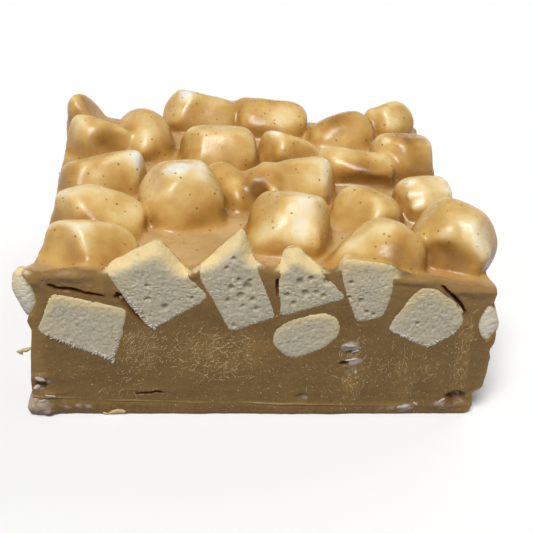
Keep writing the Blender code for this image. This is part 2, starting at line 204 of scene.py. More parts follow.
# Lumps just under the pool: place, and half sizes
LUMPS = [
    ((-15.4, -25.2, 27.3), (4.4, 2.4, 1.7)),
    ((-19.4, -21.4, 27.4), (2.6, 1.8, 1.3)),
    ((15.4, -20.6, 27.6), (3.4, 2.4, 1.8)),
    ((-3.4, -14.4, 27.6), (3.0, 2.0, 1.2)),
]


SHOULDER = 1.7  # how far most of the bared marshmallows round back to their coat, mm


class CutFace(NamedTuple):
    """A marshmallow that the front cut bares: the corners of its foam in the cut, across and up."""

    node: str
    corners: tuple
    depth: float
    round: float = 1.6
    pores: float = 0.03  # share of the places that hold a large pore
    torn: float = 0.0  # how ragged its lower edge is
    dome: float = 0.0  # how far its edge falls back from its middle
    shoulder: float = SHOULDER  # how far it rounds back to its coat above the pool

    def share_up(self, z):
        """0 at the height of its lowest corner, and 1 at that of its highest."""
        heights = [corner[1] for corner in self.corners]
        return (z - min(heights)) / (max(heights) - min(heights))


CUT_FACES = [
    CutFace(
        "front_1", ((-37.2, 26.2), (-24.0, 23.0), (-26.3, 11.4), (-40.2, 18.2)),
        8.0, 1.4, 0.03, 0.3,
    ),
    CutFace(
        "front_2", ((-18.6, 36.6), (-27.8, 31.2), (-24.9, 25.0), (-19.7, 18.6), (-9.4, 25.3)),
        5.0, 1.6, 0.1, 0.26,
    ),
    CutFace(
        "front_3", ((-3.8, 39.2), (-12.2, 30.8), (-5.8, 18.2), (3.1, 21.6), (-1.6, 33.3)),
        6.6, 1.2, 0.06, 0.08,
    ),
    CutFace(
        "front_4", ((3.0, 34.6), (6.0, 35.1), (15.2, 25.6), (3.0, 21.4), (2.3, 30.9)),
        6.5, 1.0, 0.06, 0.08,
    ),
    CutFace(
        "front_5", ((1.0, 17.2), (3.7, 21.3), (13.2, 22.8), (15.0, 19.4), (13.6, 15.6), (5.0, 11.9)),
        7.6, 2.6, 0.03,
    ),
    CutFace(
        "top_front_dome",
        ((13.2, 33.4), (22.8, 32.6), (23.3, 27.5), (21.8, 21.4), (17.0, 20.4), (13.4, 29.0)),
        6.0, 1.2, 0.06, 0.06, 0.0, 0.0,
    ),
    CutFace(
        "front_6", ((27.9, 28.6), (31.6, 28.2), (37.0, 22.4), (36.3, 18.7), (30.8, 14.6), (22.3, 19.2)),
        8.0, 1.6, 0.03, 0.3,
    ),
    CutFace(
        "left_bulge",
        ((-43.8, 30.2), (-41.6, 30.6), (-39.4, 26.0), (-40.0, 21.8), (-41.6, 20.2), (-44.4, 26.4)),
        7.0, 1.2, 0.0, 0.1, 1.3,
    ),
    CutFace(
        "right_bulge",
        ((40.6, 25.2), (42.0, 24.9), (43.9, 19.4), (41.9, 15.7), (40.4, 16.6), (38.9, 20.4)),
        7.0, 1.0, 0.0, 0.1, 0.8,
    ),
]

# Large pores that stand out in the bared foam: marshmallow, place across and up, and width, mm
PORES = [
    ("front_2", (-25.0, 24.9), 0.7),
    ("front_2", (-17.4, 23.5), 1.1),
    ("front_3", (-5.9, 27.7), 1.0),
    ("front_3", (-3.0, 28.0), 1.4),
    ("front_3", (-4.2, 26.0), 1.2),
    ("front_3", (-4.6, 29.1), 0.7),
    ("front_3", (-6.4, 25.0), 0.7),
    ("front_3", (-2.0, 25.3), 0.8),
    ("front_3", (-6.8, 31.6), 0.6),
    ("front_3", (-1.2, 23.4), 0.7),
    ("front_4", (6.2, 28.9), 1.2),
    ("front_4", (8.1, 29.6), 0.9),
    ("front_4", (10.9, 29.1), 1.1),
    ("front_4", (7.3, 26.6), 1.1),
    ("front_4", (4.1, 26.2), 0.9),
    ("front_4", (9.3, 26.8), 0.8),
    ("front_4", (10.6, 26.1), 0.7),
    ("front_4", (5.3, 24.6), 0.8),
    ("top_front_dome", (17.4, 25.1), 0.9),
    ("top_front_dome", (18.7, 22.8), 0.7),
    ("top_front_dome", (19.9, 22.3), 0.6),
    ("front_6", (28.2, 20.4), 0.6),
]


def srgb(code):
    """A colour as typed, such as "D5AC6A", made linear for a shader."""
    values = [int(code[at:at + 2], 16) / 255 for at in (0, 2, 4)]
    return tuple(v / 12.92 if v <= 0.04045 else ((v + 0.055) / 1.055) ** 2.4 for v in values)


def rgba(code):
    return (*srgb(code), 1.0)


def tinted(colour, *shares):
    """A linear colour with its red, green and blue each made stronger or weaker."""
    return (*(value * share for value, share in zip(colour, shares)), 1.0)


# Settings


def length_property(name, description, value, low, high):
    """A length property with its values given in millimetres."""
    return bpy.props.FloatProperty(
        name=name, description=description, default=value * MM, min=low * MM, max=high * MM,
        unit="LENGTH", precision=5,
    )


def colour_property(name, description, code):
    return bpy.props.FloatVectorProperty(
        name=name, description=description, subtype="COLOR", size=3, default=srgb(code)
    )


class ButterscotchSettings(bpy.types.PropertyGroup):
    """Sizes and colours of the butterscotch."""

    voxel: length_property("Fineness", "Spacing of the poured surface's mesh", 0.6, 0.2, 2.0)
    knife_step: length_property("Cut fineness", "Spacing of the cut face's mesh", 0.3, 0.1, 2.0)
    coat: length_property("Coat", "Butterscotch left on a marshmallow", 0.1, 0.0, 1.5)
    meniscus: length_property("Meniscus", "How softly the pool climbs a marshmallow", 2.3, 0.1, 6.0)
    coat_colour: colour_property("Coat colour", "Thick coat in the light", "D6AF67")
    pool_colour: colour_property("Pool colour", "Set pool between marshmallows", "C7A36D")
    cut_colour: colour_property("Cut colour", "Butterscotch bared by the knife", "745829")


class FoamSettings(bpy.types.PropertyGroup):
    """Sizes and colours of the sliced marshmallows."""

    step: length_property("Face fineness", "Spacing of the bared face's mesh", 0.2, 0.1, 2.0)
    voxel: length_property("Fineness", "Spacing of the mesh behind the face", 0.3, 0.1, 2.0)
    proud: length_property("Swell", "How far the foam springs past the cut", 0.14, 0.0, 1.0)
    pore: length_property("Pore", "Usual width of a pore", 0.75, 0.2, 2.0)
    colour: colour_property("Foam colour", "Bared marshmallow", "CBC2AB")


class StageSettings(bpy.types.PropertyGroup):
    """Floor, light and camera."""

    key_power: bpy.props.FloatProperty(
        name="Key light", description="Strength of the soft light overhead", default=2.95, min=0.0
    )
    window_power: bpy.props.FloatProperty(
        name="Window", description="Power of the low light in front", default=0.12, min=0.0, unit="POWER"
    )
    sky: bpy.props.FloatProperty(
        name="Room light", description="Strength of the even light from all round", default=0.15, min=0.0
    )
    back_power: bpy.props.FloatProperty(
        name="Back light", description="Strength of the weak light on the far sides", default=1.0, min=0.0
    )
    floor_colour: colour_property("Floor colour", "Plain pale floor", "FAFAFA")


# Noise and distances, on arrays of points in millimetres


LATTICE = 32  # cells along each side of a noise before it repeats
SEED_SHIFT = 5.37  # keeps noises that share a lattice apart


def lattice(seed):
    return np.random.RandomState(seed).uniform(-1, 1, (LATTICE,) * 3).astype(np.float32)


LATTICES = [lattice(seed) for seed in range(4)]


def ripple(points, size, seed=0):
    """Smooth unevenness from -1 to 1, with swells about as long as the size."""
    spot = points / size + seed * SEED_SHIFT
    low = np.floor(spot)
    part = (spot - low).astype(np.float32)
    part = part * part * (3 - 2 * part)
    low = low.astype(np.int64)
    table = LATTICES[seed % len(LATTICES)]
    total = np.zeros(len(points), np.float32)
    for corner in itertools.product((0, 1), repeat=3):
        share = np.ones(len(points), np.float32)
        for axis, far in enumerate(corner):
            share *= part[:, axis] if far else 1 - part[:, axis]
        x, y, z = ((low[:, axis] + corner[axis]) % LATTICE for axis in range(3))
        total += share * table[x, y, z]
    return total


def waves(points, swells, seed=0):
    """Unevenness summed from swells, each with its height, its length and the seed of its noise."""
    return sum(height * ripple(points, size, first + seed) for height, size, first in swells)


def hump(away, width=1.0, power=2):
    """1 where the distance is 0, falling off at about the width, more sharply with a higher power."""
    return np.exp(-(np.abs(away / width) ** power))


def ramp(values, start, end):
    """0 before the start, 1 past the end and straight between them; the end may be the lower one."""
    return np.clip((values - start) / (end - start), 0, 1)


def read_off(line, spots):
    """Values of a line of pairs at places between them."""
    return np.interp(spots, *zip(*line))


def smooth_min(one, other, blend):
    """Joins two shapes with a fillet."""
    near = np.maximum(blend - np.abs(one - other), 0) / blend
    return np.minimum(one, other) - near * near * blend / 4


def smooth_max(one, other, blend):
    return -smooth_min(-one, -other, blend)


def turn_of(sweet):
    yaw, pitch, roll = (math.radians(angle) for angle in sweet.turn)
    return np.array(Euler((roll, -pitch, yaw)).to_matrix(), np.float32)


def support(sweet, facing):
    """How far a marshmallow reaches from its middle in a direction."""
    along, side, up = np.abs(facing @ turn_of(sweet)) * np.array(sweet.size) / 2
    power = sweet.fullness / (sweet.fullness - 1)
    return (along**power + math.hypot(side, up) ** power) ** (1 / power)


def barrel(points, sweet):
    """Distance from a marshmallow's outside."""
    turn = turn_of(sweet)
    local = (points - np.array(sweet.place, np.float32)) @ turn
    length, width, height = (value / 2 for value in sweet.size)
    x = local[:, 0] / length
    narrow = 1 - sweet.taper * (np.clip(x, -1, 1) + 1) / 2
    y = local[:, 1] / (width * narrow)
    z = local[:, 2] / (height * narrow)
    power = sweet.fullness
    along = np.abs(x) + 1e-4
    across = np.hypot(y, z) + 1e-4
    gauge = (along**power + across**power) ** (1 / power)
    steep = np.hypot(y / width, z / height) / across
    slope = np.hypot(along ** (power - 1) / length, across ** (power - 1) * steep) * gauge ** (1 - power)
    return (gauge - 1) / slope


def in_reach(points, place, reach):
    return np.abs(points - np.array(place, np.float32)).max(axis=1) < reach


FAR = 9.0  # a distance that stands for not near, mm
SWEET_REACH = 4.0  # how far past a marshmallow its rule still matters
FACE_REACH = 12.0  # how far behind the cut the marshmallows of the front cut matter
PRESS_SOFTNESS = 1.25  # softens every flat of FACETS alike


def about(points, sweet):
    """Which points lie close enough to a marshmallow for its rule to matter."""
    return in_reach(points, sweet.place, max(sweet.size) / 2 + SWEET_REACH)


def by_front(points):
    """Which points lie where the marshmallows of the front cut reach."""
    return points[:, 1] < FRONT + FACE_REACH


def shaped(points, sweet):
    """Distance from a marshmallow with its flats, ridges and hollows."""
    skin = barrel(points, sweet)
    local = points - np.array(sweet.place, np.float32)
    for facing, depth, soft in FACETS.get(sweet.node, ()):
        facing = np.array(facing, np.float32) / np.linalg.norm(facing)
        level = support(sweet, facing) - depth
        skin = smooth_max(skin, local @ facing - level, soft * PRESS_SOFTNESS)
    for *line, blend in RIDGES.get(sweet.node, ()):
        skin = smooth_min(skin, capsule(points, *line), blend)
    for *line, blend in HOLLOWS.get(sweet.node, ()):
        skin = smooth_max(skin, -capsule(points, *line), blend)
    return skin


def capsule(points, start, end, thick, thin):
    """Distance from a ridge that runs between two places, with a radius at each."""
    start, end = (np.array(place, np.float32) for place in (start, end))
    run = end - start
    share = np.clip((points - start) @ run / (run @ run), 0, 1)
    away = np.linalg.norm(points - start - share[:, None] * run, axis=1)
    return away - (thick + (thin - thick) * share)


def outline(x, z, face):
    """Distance in the cut from the edge of a bared marshmallow, rounded at its corners."""
    corners = face.corners
    middle = np.mean(corners, axis=0)
    result = None
    for index, (ax, az) in enumerate(corners):
        bx, bz = corners[(index + 1) % len(corners)]
        normal = np.array((bz - az, ax - bx)) / math.hypot(bx - ax, bz - az)
        if (middle - (ax, az)) @ normal > 0:
            normal = -normal
        past = (x - ax) * normal[0] + (z - az) * normal[1]
        result = past if result is None else smooth_max(result, past, face.round)
    return result


NARROWING = 0.055  # how fast a bared marshmallow narrows behind the cut
END_ROUND = 3.0  # how softly it ends there


def cut_sweet(points, face):
    """Distance from a marshmallow that the front cut bares, which narrows away from the cut."""
    depth = points[:, 1] - FRONT
    swell = outline(points[:, 0], points[:, 2], face) + NARROWING * np.maximum(depth, 0) ** 2
    return smooth_max(swell, depth - face.depth, END_ROUND)


def polyline(x, z, places):
    """Distance in the cut from a line through places, and the share of it run so far."""
    best = np.full(x.shape, 1e3)
    run = np.zeros(x.shape)
    for index, ((ax, az), (bx, bz)) in enumerate(zip(places, places[1:])):
        dx, dz = bx - ax, bz - az
        share = np.clip(((x - ax) * dx + (z - az) * dz) / (dx * dx + dz * dz), 0, 1)
        away = np.hypot(x - ax - share * dx, z - az - share * dz)
        closer = away < best
        best = np.where(closer, away, best)
        run = np.where(closer, (index + share) / (len(places) - 1), run)
    return best, run


COARSE = 4  # fine cells along each coarse one
CORNERS = list(itertools.product((0, 1), repeat=3))


def window(shape, shift):
    """The part of a grid, one shorter along each axis, that starts at a corner of its first cell."""
    return tuple(slice(start, size - 1 + start) for start, size in zip(shift, shape))


def unpinch(values, step):
    """Fills beside diagonal pairs of filled corners, which would leave pinched edges."""
    for _ in range(4):
        for axis in range(3):
            cuts = []
            for pair in ((0, 0), (1, 0), (1, 1), (0, 1)):
                cut = list(window(values.shape, (*pair[:axis], 0, *pair[axis:])))
                cut[axis] = slice(None)
                cuts.append(tuple(cut))
            signs = [values[cut] < 0 for cut in cuts]
            pinched = (signs[0] == signs[2]) & (signs[1] == signs[3]) & (signs[0] != signs[1])
            for cut in cuts:
                block = values[cut]
                block[pinched & (block >= 0)] = -1e-3 * step


def crossing_points(values, cells):
    """The middle of the places where the surface crosses the edges of each cell, in cells."""
    place = np.zeros((len(cells), 3))
    crossings = np.zeros(len(cells))
    for shift in CORNERS:
        for axis in range(3):
            if shift[axis]:
                continue
            far = list(shift)
            far[axis] = 1
            here = values[tuple((cells + shift).T)]
            there = values[tuple((cells + far).T)]
            crossed = (here < 0) != (there < 0)
            share = np.where(crossed, here / np.where(crossed, here - there, 1), 0)
            spot = np.tile(np.array(shift, float), (len(cells), 1))
            spot[:, axis] += share
            place += spot * crossed[:, None]
            crossings += crossed
    return cells + place / crossings[:, None]


def crossing_quads(inside, numbers):
    """A quad over each edge of the grid that the surface crosses, from the numbers of its cells."""
    loops = []
    for axis in range(3):
        b, c = (axis + 1) % 3, (axis + 2) % 3
        low = [slice(None)] * 3
        high = [slice(None)] * 3
        low[axis], high[axis] = slice(None, -1), slice(1, None)
        edges = np.argwhere(inside[tuple(low)] != inside[tuple(high)])
        within = (edges[:, b] > 0) & (edges[:, c] > 0)
        within &= (edges[:, b] < inside.shape[b] - 1) & (edges[:, c] < inside.shape[c] - 1)
        edges = edges[within]
        quad = []
        for back_b, back_c in ((1, 1), (0, 1), (0, 0), (1, 0)):
            cell = edges.copy()
            cell[:, b] -= back_b
            cell[:, c] -= back_c
            quad.append(numbers[tuple(cell.T)])
        quad = np.stack(quad, axis=1)
        turned = ~inside[tuple(edges.T)]
        quad[turned] = quad[turned][:, ::-1]
        loops.append(quad)
    return np.concatenate(loops)


def surface_net(values, origin, step):
    """Points and quads of the surface where values on a grid pass zero."""
    unpinch(values, step)
    inside = values < 0
    filled = sum(inside[window(values.shape, shift)].astype(np.int8) for shift in CORNERS)
    mixed = (filled > 0) & (filled < len(CORNERS))
    cells = np.argwhere(mixed)
    numbers = np.full(mixed.shape, -1, np.int64)
    numbers[mixed] = np.arange(len(cells))
    return crossing_points(values, cells) * step + origin, crossing_quads(inside, numbers)


NUDGE = 0.1  # how far apart two readings of a rule are taken for its slope, mm
LONGEST_MOVE = 0.3


def settle(place, distance, rounds=2):
    """Moves points onto a surface along its slope."""
    for _ in range(rounds):
        here = distance(place)
        slope = np.stack([distance(place + NUDGE * way) - here for way in np.eye(3)], axis=1) / NUDGE
        steep = np.maximum((slope**2).sum(axis=1), 0.25)
        move = np.clip(here, -LONGEST_MOVE, LONGEST_MOVE) / steep
        place = place - slope * move[:, None]
    return place


def net_of(distance, low, high, step):
    """The surface of a distance rule inside a box, worked out finely only near the surface."""
    low = np.array(low, float)
    blocks = np.ceil((np.array(high) - low) / (step * COARSE)).astype(int) + 1
    counts = blocks * COARSE
    lines = [low[axis] + step * np.arange(counts[axis]) for axis in range(3)]
    middles = [line[COARSE // 2::COARSE] for line in lines]
    rough = distance(grid_of(middles)).reshape(blocks)
    values = rough.repeat(COARSE, 0).repeat(COARSE, 1).repeat(COARSE, 2).astype(np.float64)
    near = np.abs(values) < 1.2 * COARSE * step
    fine = np.stack([line[spot] for line, spot in zip(lines, np.nonzero(near))], axis=1)
    values[near] = distance(fine)
    for axis in range(3):
        for end in (0, -1):
            edge = [slice(None)] * 3
            edge[axis] = end
            values[tuple(edge)] = np.maximum(values[tuple(edge)], step)
    return surface_net(values, low, step)


def grid_of(lines):
    return np.stack(np.meshgrid(*lines, indexing="ij"), axis=-1).reshape(-1, 3)


# Butterscotch

# Height of the rim along the front cut, and the cut's two ends up it: pairs of millimetres
FRONT_RIM = (
    (-42, 30.4), (-36.8, 30.6), (-32.9, 31.2), (-28, 30.4), (-14.3, 29.8), (-12.3, 31.2), (-0.7, 32.2),
    (1.6, 31.4), (11.3, 31.2), (14, 31.8), (23.4, 30.2), (31, 29.8), (35, 29.0), (42, 27.9),
)
LEFT_END = (
    (0, 41.4), (2.1, 42.1), (4.4, 41.5), (7.7, 41.8), (15.4, 41.2), (18.4, 41.0), (20.2, 41.7),
    (21.8, 41.3), (24.2, 39.9), (25.6, 40.2), (27.2, 42.4), (29.0, 42.5), (31.2, 41.9), (32.4, 39.6),
)
RIGHT_END = (
    (0, 38.9), (1.4, 39.9), (3.2, 40.7), (4.9, 40.3), (6.1, 42.1), (9, 42.6), (13.0, 42.9), (14.6, 42.5),
    (16.2, 43.3), (19.5, 43.2), (24.9, 41.9), (27, 42.1), (30, 41.6),
)
RIM_REACH = 3.5
END_REACH = 6.5


def near_front(y, reach):
    return hump(y - FRONT, reach)


def side_x(side, y, z):
    """Where the left (-1) or right (1) cut lies, without its sign."""
    across = plain_side_x(side, y, z)
    ragged = read_off(RIGHT_END if side > 0 else LEFT_END, z)
    return across + (ragged - across) * near_front(y, END_REACH)


def plain_side_x(side, y, z):
    across = SLAB_WIDTH / 2 - SIDE_LEAN * (1 - (2 * y / SLAB_DEPTH) ** 4) * z / POOL_HEIGHT
    if side > 0:
        across = across + RIGHT_SAG * hump(z - SAG_HEIGHT, SAG_REACH)
    return across


def foot_step(z):
    """How far the foot stands out at a height, rounded under and falling away at its top."""
    proud = FOOT_PROUD * 0.5 * (1 - np.tanh((z - FOOT_HEIGHT) / FOOT_FADE))
    under = np.clip((FOOT_ROUND - z) / FOOT_ROUND, 0, 1)
    return proud - FOOT_ROUND * (1 - np.sqrt(1 - np.minimum(under, 0.999) ** 2))


CORNER_ROUND = 3.0
SIDES = ((0, -1), (0, 1), (1, 1))  # axis and way of the left, right and back cuts

# Swells of each surface: height and length in mm, or a length along each axis, and the seed of the noise
WALL_SWELLS = ((0.3, (15, 15, 9.375), 1), (0.08, 2.6, 2), (0.05, 1.1, 3))
POOL_SWELLS = ((0.35, 11, 0), (0.2, 4.5, 3))
RIM_SWELLS = ((0.3, 2.3, 1), (0.2, 0.9, 2))
COAT_SWELLS = ((0.16, 5.5, 2), (0.09, 2.7, 1))
CUT_SWELLS = (
    (0.22, 17, 1), (0.09, 4.3, 2), (0.035, 1.3, 3), (0.03, 0.6, 0),
    (0.035, (0.9, 1, 5.5), 1), (0.05, (5.0, 1, 1.1), 3),
)
CRACK_SWELLS = ((0.12, 1.3, 1), (0.08, 0.5, 2))


def past_cuts(points):
    """Distance past the left, right and back cuts."""
    x, y, z = points.T
    stray = foot_step(z) + waves(points, WALL_SWELLS)
    left = -x - side_x(-1, y, z) - stray
    right = x - side_x(1, y, z) - stray
    back = y - SLAB_DEPTH / 2 - stray
    return np.stack((left, right, back))


def walls(points):
    """Distance past the left, right and back cuts, and past the blank's front."""
    left, right, back = past_cuts(points)
    sides = smooth_max(np.maximum(left, right), back, CORNER_ROUND)
    return np.maximum(sides, FRONT - OVERCUT - points[:, 1])


def onto_cut(points, index, lift):
    """Moves points straight onto one of those cuts, or a little past it."""
    axis, way = SIDES[index]
    for _ in range(3):
        points[:, axis] -= way * (past_cuts(points)[index] - lift)
    return points


def pool_level(points):
    """The pool's height, drawn up to the torn rim at the front."""
    x, y, _ = points.T
    flat = points * (1, 1, 0)
    level = POOL_HEIGHT + waves(flat, POOL_SWELLS)
    rim = read_off(FRONT_RIM, x) + waves(flat, RIM_SWELLS) * near_front(y, 1.0)
    return level + (rim - level) * near_front(y, RIM_REACH)


SWEET_FILLET = 1.3  # between two top marshmallows, mm
FACE_FILLET = 0.7  # between them and the ones that the front cut bares
LUMP_FILLET = 1.2
HANG_FILLET = 1.0
SIDE_SLUMP = 1.8  # how softly a top marshmallow turns down a side cut
EDGE_ROUND = 0.02  # how sharp the pool's edge at the cuts is


class Square:
    """The butterscotch's distance rule, with the settings that it uses."""

    def __init__(self, settings):
        self.coat = settings.coat / MM
        self.meniscus = settings.meniscus / MM

    def join(self, points, result, sweet, blend):
        """Adds a coated marshmallow to distances worked out so far."""
        near = about(points, sweet)
        some = points[near]
        skin = shaped(some, sweet) - self.coat - waves(some, COAT_SWELLS)
        result[near] = smooth_min(result[near], skin, blend)

    def poured(self, points):
        """Distance before the left, right and back cuts."""
        tops = np.full(len(points), FAR, np.float32)
        for sweet in TOP:
            self.join(points, tops, sweet, SWEET_FILLET)
        near = by_front(points) & (points[:, 2] > 10)
        for face in CUT_FACES:
            tops[near] = smooth_min(tops[near], cut_sweet(points[near], face) - self.coat, FACE_FILLET)
        result = points[:, 2] - pool_level(points)
        for place, half in LUMPS:
            near = in_reach(points, place, FAR)
            away = np.linalg.norm((points[near] - place) / half, axis=1) - 1
            result[near] = smooth_min(result[near], away * min(half), LUMP_FILLET)
        return smooth_min(result, tops, self.meniscus)

    def __call__(self, points):
        points = points.astype(np.float32)
        above = np.clip((points[:, 2] - POOL_HEIGHT - 0.5) / 2, 0, 1)
        result = smooth_max(self.poured(points), walls(points), EDGE_ROUND + SIDE_SLUMP * above)
        self.join(points, result, OVERHANGING, HANG_FILLET)
        return np.maximum(result, -points[:, 2])


SHOULDER_REACH = 1.5  # how much of its edge a bared marshmallow rounds over
SHOULDER_OUTSIDE = 0.8  # and how much of the butterscotch beside it
SHOULDER_RISE = (-0.6, 1.8)  # heights above the rim between which that sets in


def shoulder(x, z, face):
    """How far a bared marshmallow rounds back to its coat, above the pool."""
    inward = -outline(x, z, face)
    above = ramp(z - read_off(FRONT_RIM, x), *SHOULDER_RISE)
    reach = np.where(inward > 0, SHOULDER_REACH, SHOULDER_OUTSIDE)
    return face.shoulder * above * hump(inward, reach)


# Cracks in the front cut: the line they follow, half width and depth, mm
CRACKS = [
    (((-37.6, 28.0), (-36.4, 27.0), (-33.9, 26.8), (-31.4, 26.1), (-28.2, 25.7)), 0.2, 2.2),
    (((31.8, 28.3), (33.8, 26.6), (35.4, 24.8), (36.8, 22.6)), 0.15, 1.8),
    (((2.3, 29.4), (2.5, 27.4), (2.6, 25.8)), 0.22, 1.4),
    (((-25.9, 26.3), (-24.6, 24.3), (-22.9, 22.2), (-21.3, 20.2)), 0.2, 0.9),
    (((-22.6, 4.6), (-20.1, 4.8), (-18.8, 5.3), (-17.7, 4.8)), 0.16, 0.8),
]

# Holes and hollows in the front cut: place, width and height, depth, mm
HOLES = [
    ((-25.4, 25.4), (1.7, 1.2), 1.6),
    ((15.5, 11.4), (1.5, 1.1), 1.2),
    ((16.6, 13.9), (1.8, 0.9), 0.7),
    ((37.6, 3.9), (3.4, 2.2), 1.8),
    ((-39.9, 6.6), (2.2, 1.3), 0.9),
    ((8.0, 3.9), (1.9, 1.5), 0.35),
    ((16.6, 8.4), (2.6, 5.0), 0.35),
]

# Swellings and torn flaps that stand out of the front cut, in the same way
MOUNDS = [
    ((-40.2, 2.2), (3.0, 1.7), 1.0),
    ((-38.4, 0.9), (1.6, 0.7), 0.6),
    ((-34.0, 1.8), (3.4, 0.9), 0.35),
    ((-40.0, 8.4), (1.6, 0.7), 0.6),
    ((-38.4, 4.8), (1.8, 0.6), 0.5),
    ((-40.6, 28.6), (2.2, 2.0), 0.7),
    ((36.4, 27.4), (5.4, 1.3), 0.7),
    ((26.8, 29.2), (3.4, 0.9), 0.5),
    ((-34.6, 29.6), (4.4, 1.0), 0.5),
    ((-13.4, 30.2), (2.0, 1.0), 0.5),
    ((27.2, 1.7), (2.2, 0.9), 0.35),
    ((34.6, 2.4), (2.0, 1.2), 0.4),
    ((17.4, 6.6), (1.4, 2.4), 0.3),
    ((16.8, 15.6), (1.6, 0.7), 0.3),
    ((-20.4, 5.6), (3.0, 0.5), 0.35),
]

FRONT_FOOT = 0.35  # share of the foot's step that shows on the front cut
SOCKET_DEPTH = 1.8  # how far the knife clears the butterscotch behind a bared face, mm
SOCKET_EDGE = (0.35, 0.65)  # and how far inside its outline it goes down to that
RIM_FALL, RIM_FALL_REACH = 0.5, 0.9  # how far the torn rim falls back, and how far down
CRACK_END, CRACK_MIDDLE = 0.35, 1.65  # how wide a crack is along its line, from its half width
MOUND_SWELLS = ((0.3, 1.2, 1),)
HOLE_SWELLS = ((0.25, 0.9, 2),)

# Where the crease runs above the foot
CREASE = (
    (-42.0, 4.2), (-35.3, 3.7), (-29.3, 3.2), (-18.3, 2.8), (0.4, 2.6), (9.8, 2.4), (21.8, 2.2), (42, 2.0)
)
LIP, LIP_HIGHLIGHT = 0.1, 0.16  # how high the lip lies above the crease, and how wide the pale line painted along it as a highlight is
CREASE_SHAPE = ((0.17, LIP, 0.14), (-0.14, -0.28, 0.2))  # the lip over a groove: depth, place and width


def crease(flat):
    """Height above the crease, and how clear the crease is there."""
    x, _, z = flat.T
    above = z - read_off(CREASE, x) + 0.16 * ripple(flat, 3.0, 2)
    return above, np.clip(0.6 + 0.9 * ripple(flat, 6.0, 0), 0.1, 1)


def front_relief(x, z):
    """How far the front cut stands out, mm, on arrays of places across and up."""
    shape = x.shape
    x, z = x.ravel(), z.ravel()
    flat = np.stack((x, np.zeros_like(x), z), axis=1)
    relief = waves(flat, CUT_SWELLS) + FRONT_FOOT * foot_step(z)
    above, clear = crease(flat)
    relief += clear * sum(depth * hump(above - place, width) for depth, place, width in CREASE_SHAPE)
    ragged = waves(flat, MOUND_SWELLS)
    for (mx, mz), (wide, tall), height in MOUNDS:
        relief += height * hump(np.hypot((x - mx) / wide, (z - mz) / tall) + ragged)
    for face in CUT_FACES:
        inward = -outline(x, z, face)
        relief -= SOCKET_DEPTH * ramp(inward, *SOCKET_EDGE) + shoulder(x, z, face)
    over = z - read_off(FRONT_RIM, x)
    torn = np.clip(0.6 + ripple(flat, 2.1, 2), 0, 1.5)
    relief -= RIM_FALL * np.clip(1 + over / RIM_FALL_REACH, 0, 1.2) * torn
    wobble = waves(flat, CRACK_SWELLS)
    for places, half, depth in CRACKS:
        away, run = polyline(x, z + wobble, places)
        middle = np.sqrt(np.clip(run * (1 - run) * 4, 0, 1))
        width = half * (CRACK_END + (CRACK_MIDDLE - CRACK_END) * middle)
        relief -= depth * hump(away, width, 4)
    ragged = waves(flat, HOLE_SWELLS)
    for (hx, hz), (wide, tall), depth in HOLES:
        relief -= depth * hump(np.hypot((x - hx) / wide, (z - hz) / tall) * 2 + ragged, power=4)
    return relief.reshape(shape)


# Parts of the front cut with a look of their own: place, half width and height, mm, and amount
HAZE = [
    ((-22.0, 14.6), (3.2, 4.6), 0.3),
    ((-6.4, 14.4), (8.2, 4.2), 0.42),
    ((-13.0, 11.0), (2.0, 2.6), 0.25),
    ((17.4, 8.4), (1.8, 5.6), 0.4),
    ((37.4, 18.8), (1.6, 3.4), 0.5),
    ((37.6, 10.4), (1.4, 5.4), 0.5),
    ((27.0, 8.0), (2.2, 4.6), 0.3),
    ((-33.0, 29.0), (3.6, 1.2), 0.5),
    ((-29.6, 27.8), (2.0, 1.6), 0.3),
    ((36.0, 28.2), (6.4, 1.2), 0.12),
    ((37.0, 25.4), (3.6, 1.5), 0.15),
    ((-39.8, 15.6), (1.4, 7.0), 0.3),
]
BLOOM = [
    ((16.4, 15.3), (1.7, 1.1), 0.9),
    ((17.0, 12.3), (1.8, 0.8), 0.9),
    ((16.8, 9.6), (1.4, 2.4), 0.4),
    ((27.4, 1.7), (2.6, 0.9), 0.6),
    ((34.6, 2.2), (2.2, 1.0), 0.6),
    ((23.6, 1.4), (1.6, 0.7), 0.4),
    ((-33.0, 2.0), (3.2, 0.5), 0.6),
    ((-39.6, 7.6), (1.9, 0.7), 0.6),
    ((-38.4, 4.2), (2.6, 0.6), 0.5),
    ((-40.4, 2.2), (3.2, 1.9), 0.6),
    ((8.2, 3.9), (1.2, 0.8), 0.4),
    ((38.4, 4.4), (1.5, 0.8), 0.4),
]
# Darker, damp-looking parts of the front cut; the two in the holes at the lower left and lower right are
# painted shade
DAMP_AND_HOLE_SHADE = [
    ((-26.0, 8.6), (3.6, 2.4), 0.3),
    ((-20.6, 27.0), (1.4, 3.4), 0.3),
    ((-6.0, 20.0), (2.6, 4.0), 0.25),
    ((37.8, 3.4), (2.4, 1.4), 0.5),
    ((-40.4, 6.2), (1.8, 1.0), 0.5),
    ((0.6, 24.0), (1.2, 5.0), 0.25),
    ((15.2, 22.0), (1.6, 3.0), 0.25),
    ((-41.0, 21.0), (1.4, 2.6), 0.4),
    ((42.0, 13.0), (1.6, 3.0), 0.3),
]

FRONT_SKIN, RIND_SKIN = 2.5, 1.5  # how deep the looks of the front cut and of its rinds reach, mm
RIND_REACH = 0.9  # width of the pale rind round a bared marshmallow
RIND_TOP = 0.4  # a rind ends this far below the rim, mm
SEAM_REACH = 0.25  # how far a crack's dark edge reaches past it
BLOOM_SHOWS = (0.18, 0.38)  # fainter bloom fades out between these amounts
SIDE_HAZE = 0.7  # how dry the hazy parts of the side and back cuts are
PATCHY_SWELLS = ((0.5, 1.1, 1), (0.35, 0.5, 2))
RIM_PALENESS, RIM_PALE_REACH = 0.55, 4.6  # how much paler the cut is at its rim, and how far down, mm
END_PAINTED_LIGHT, END_LIGHT_REACH = 0.4, 1.5  # how much paler it is at its left and right ends, and how far in: painted light on the corners
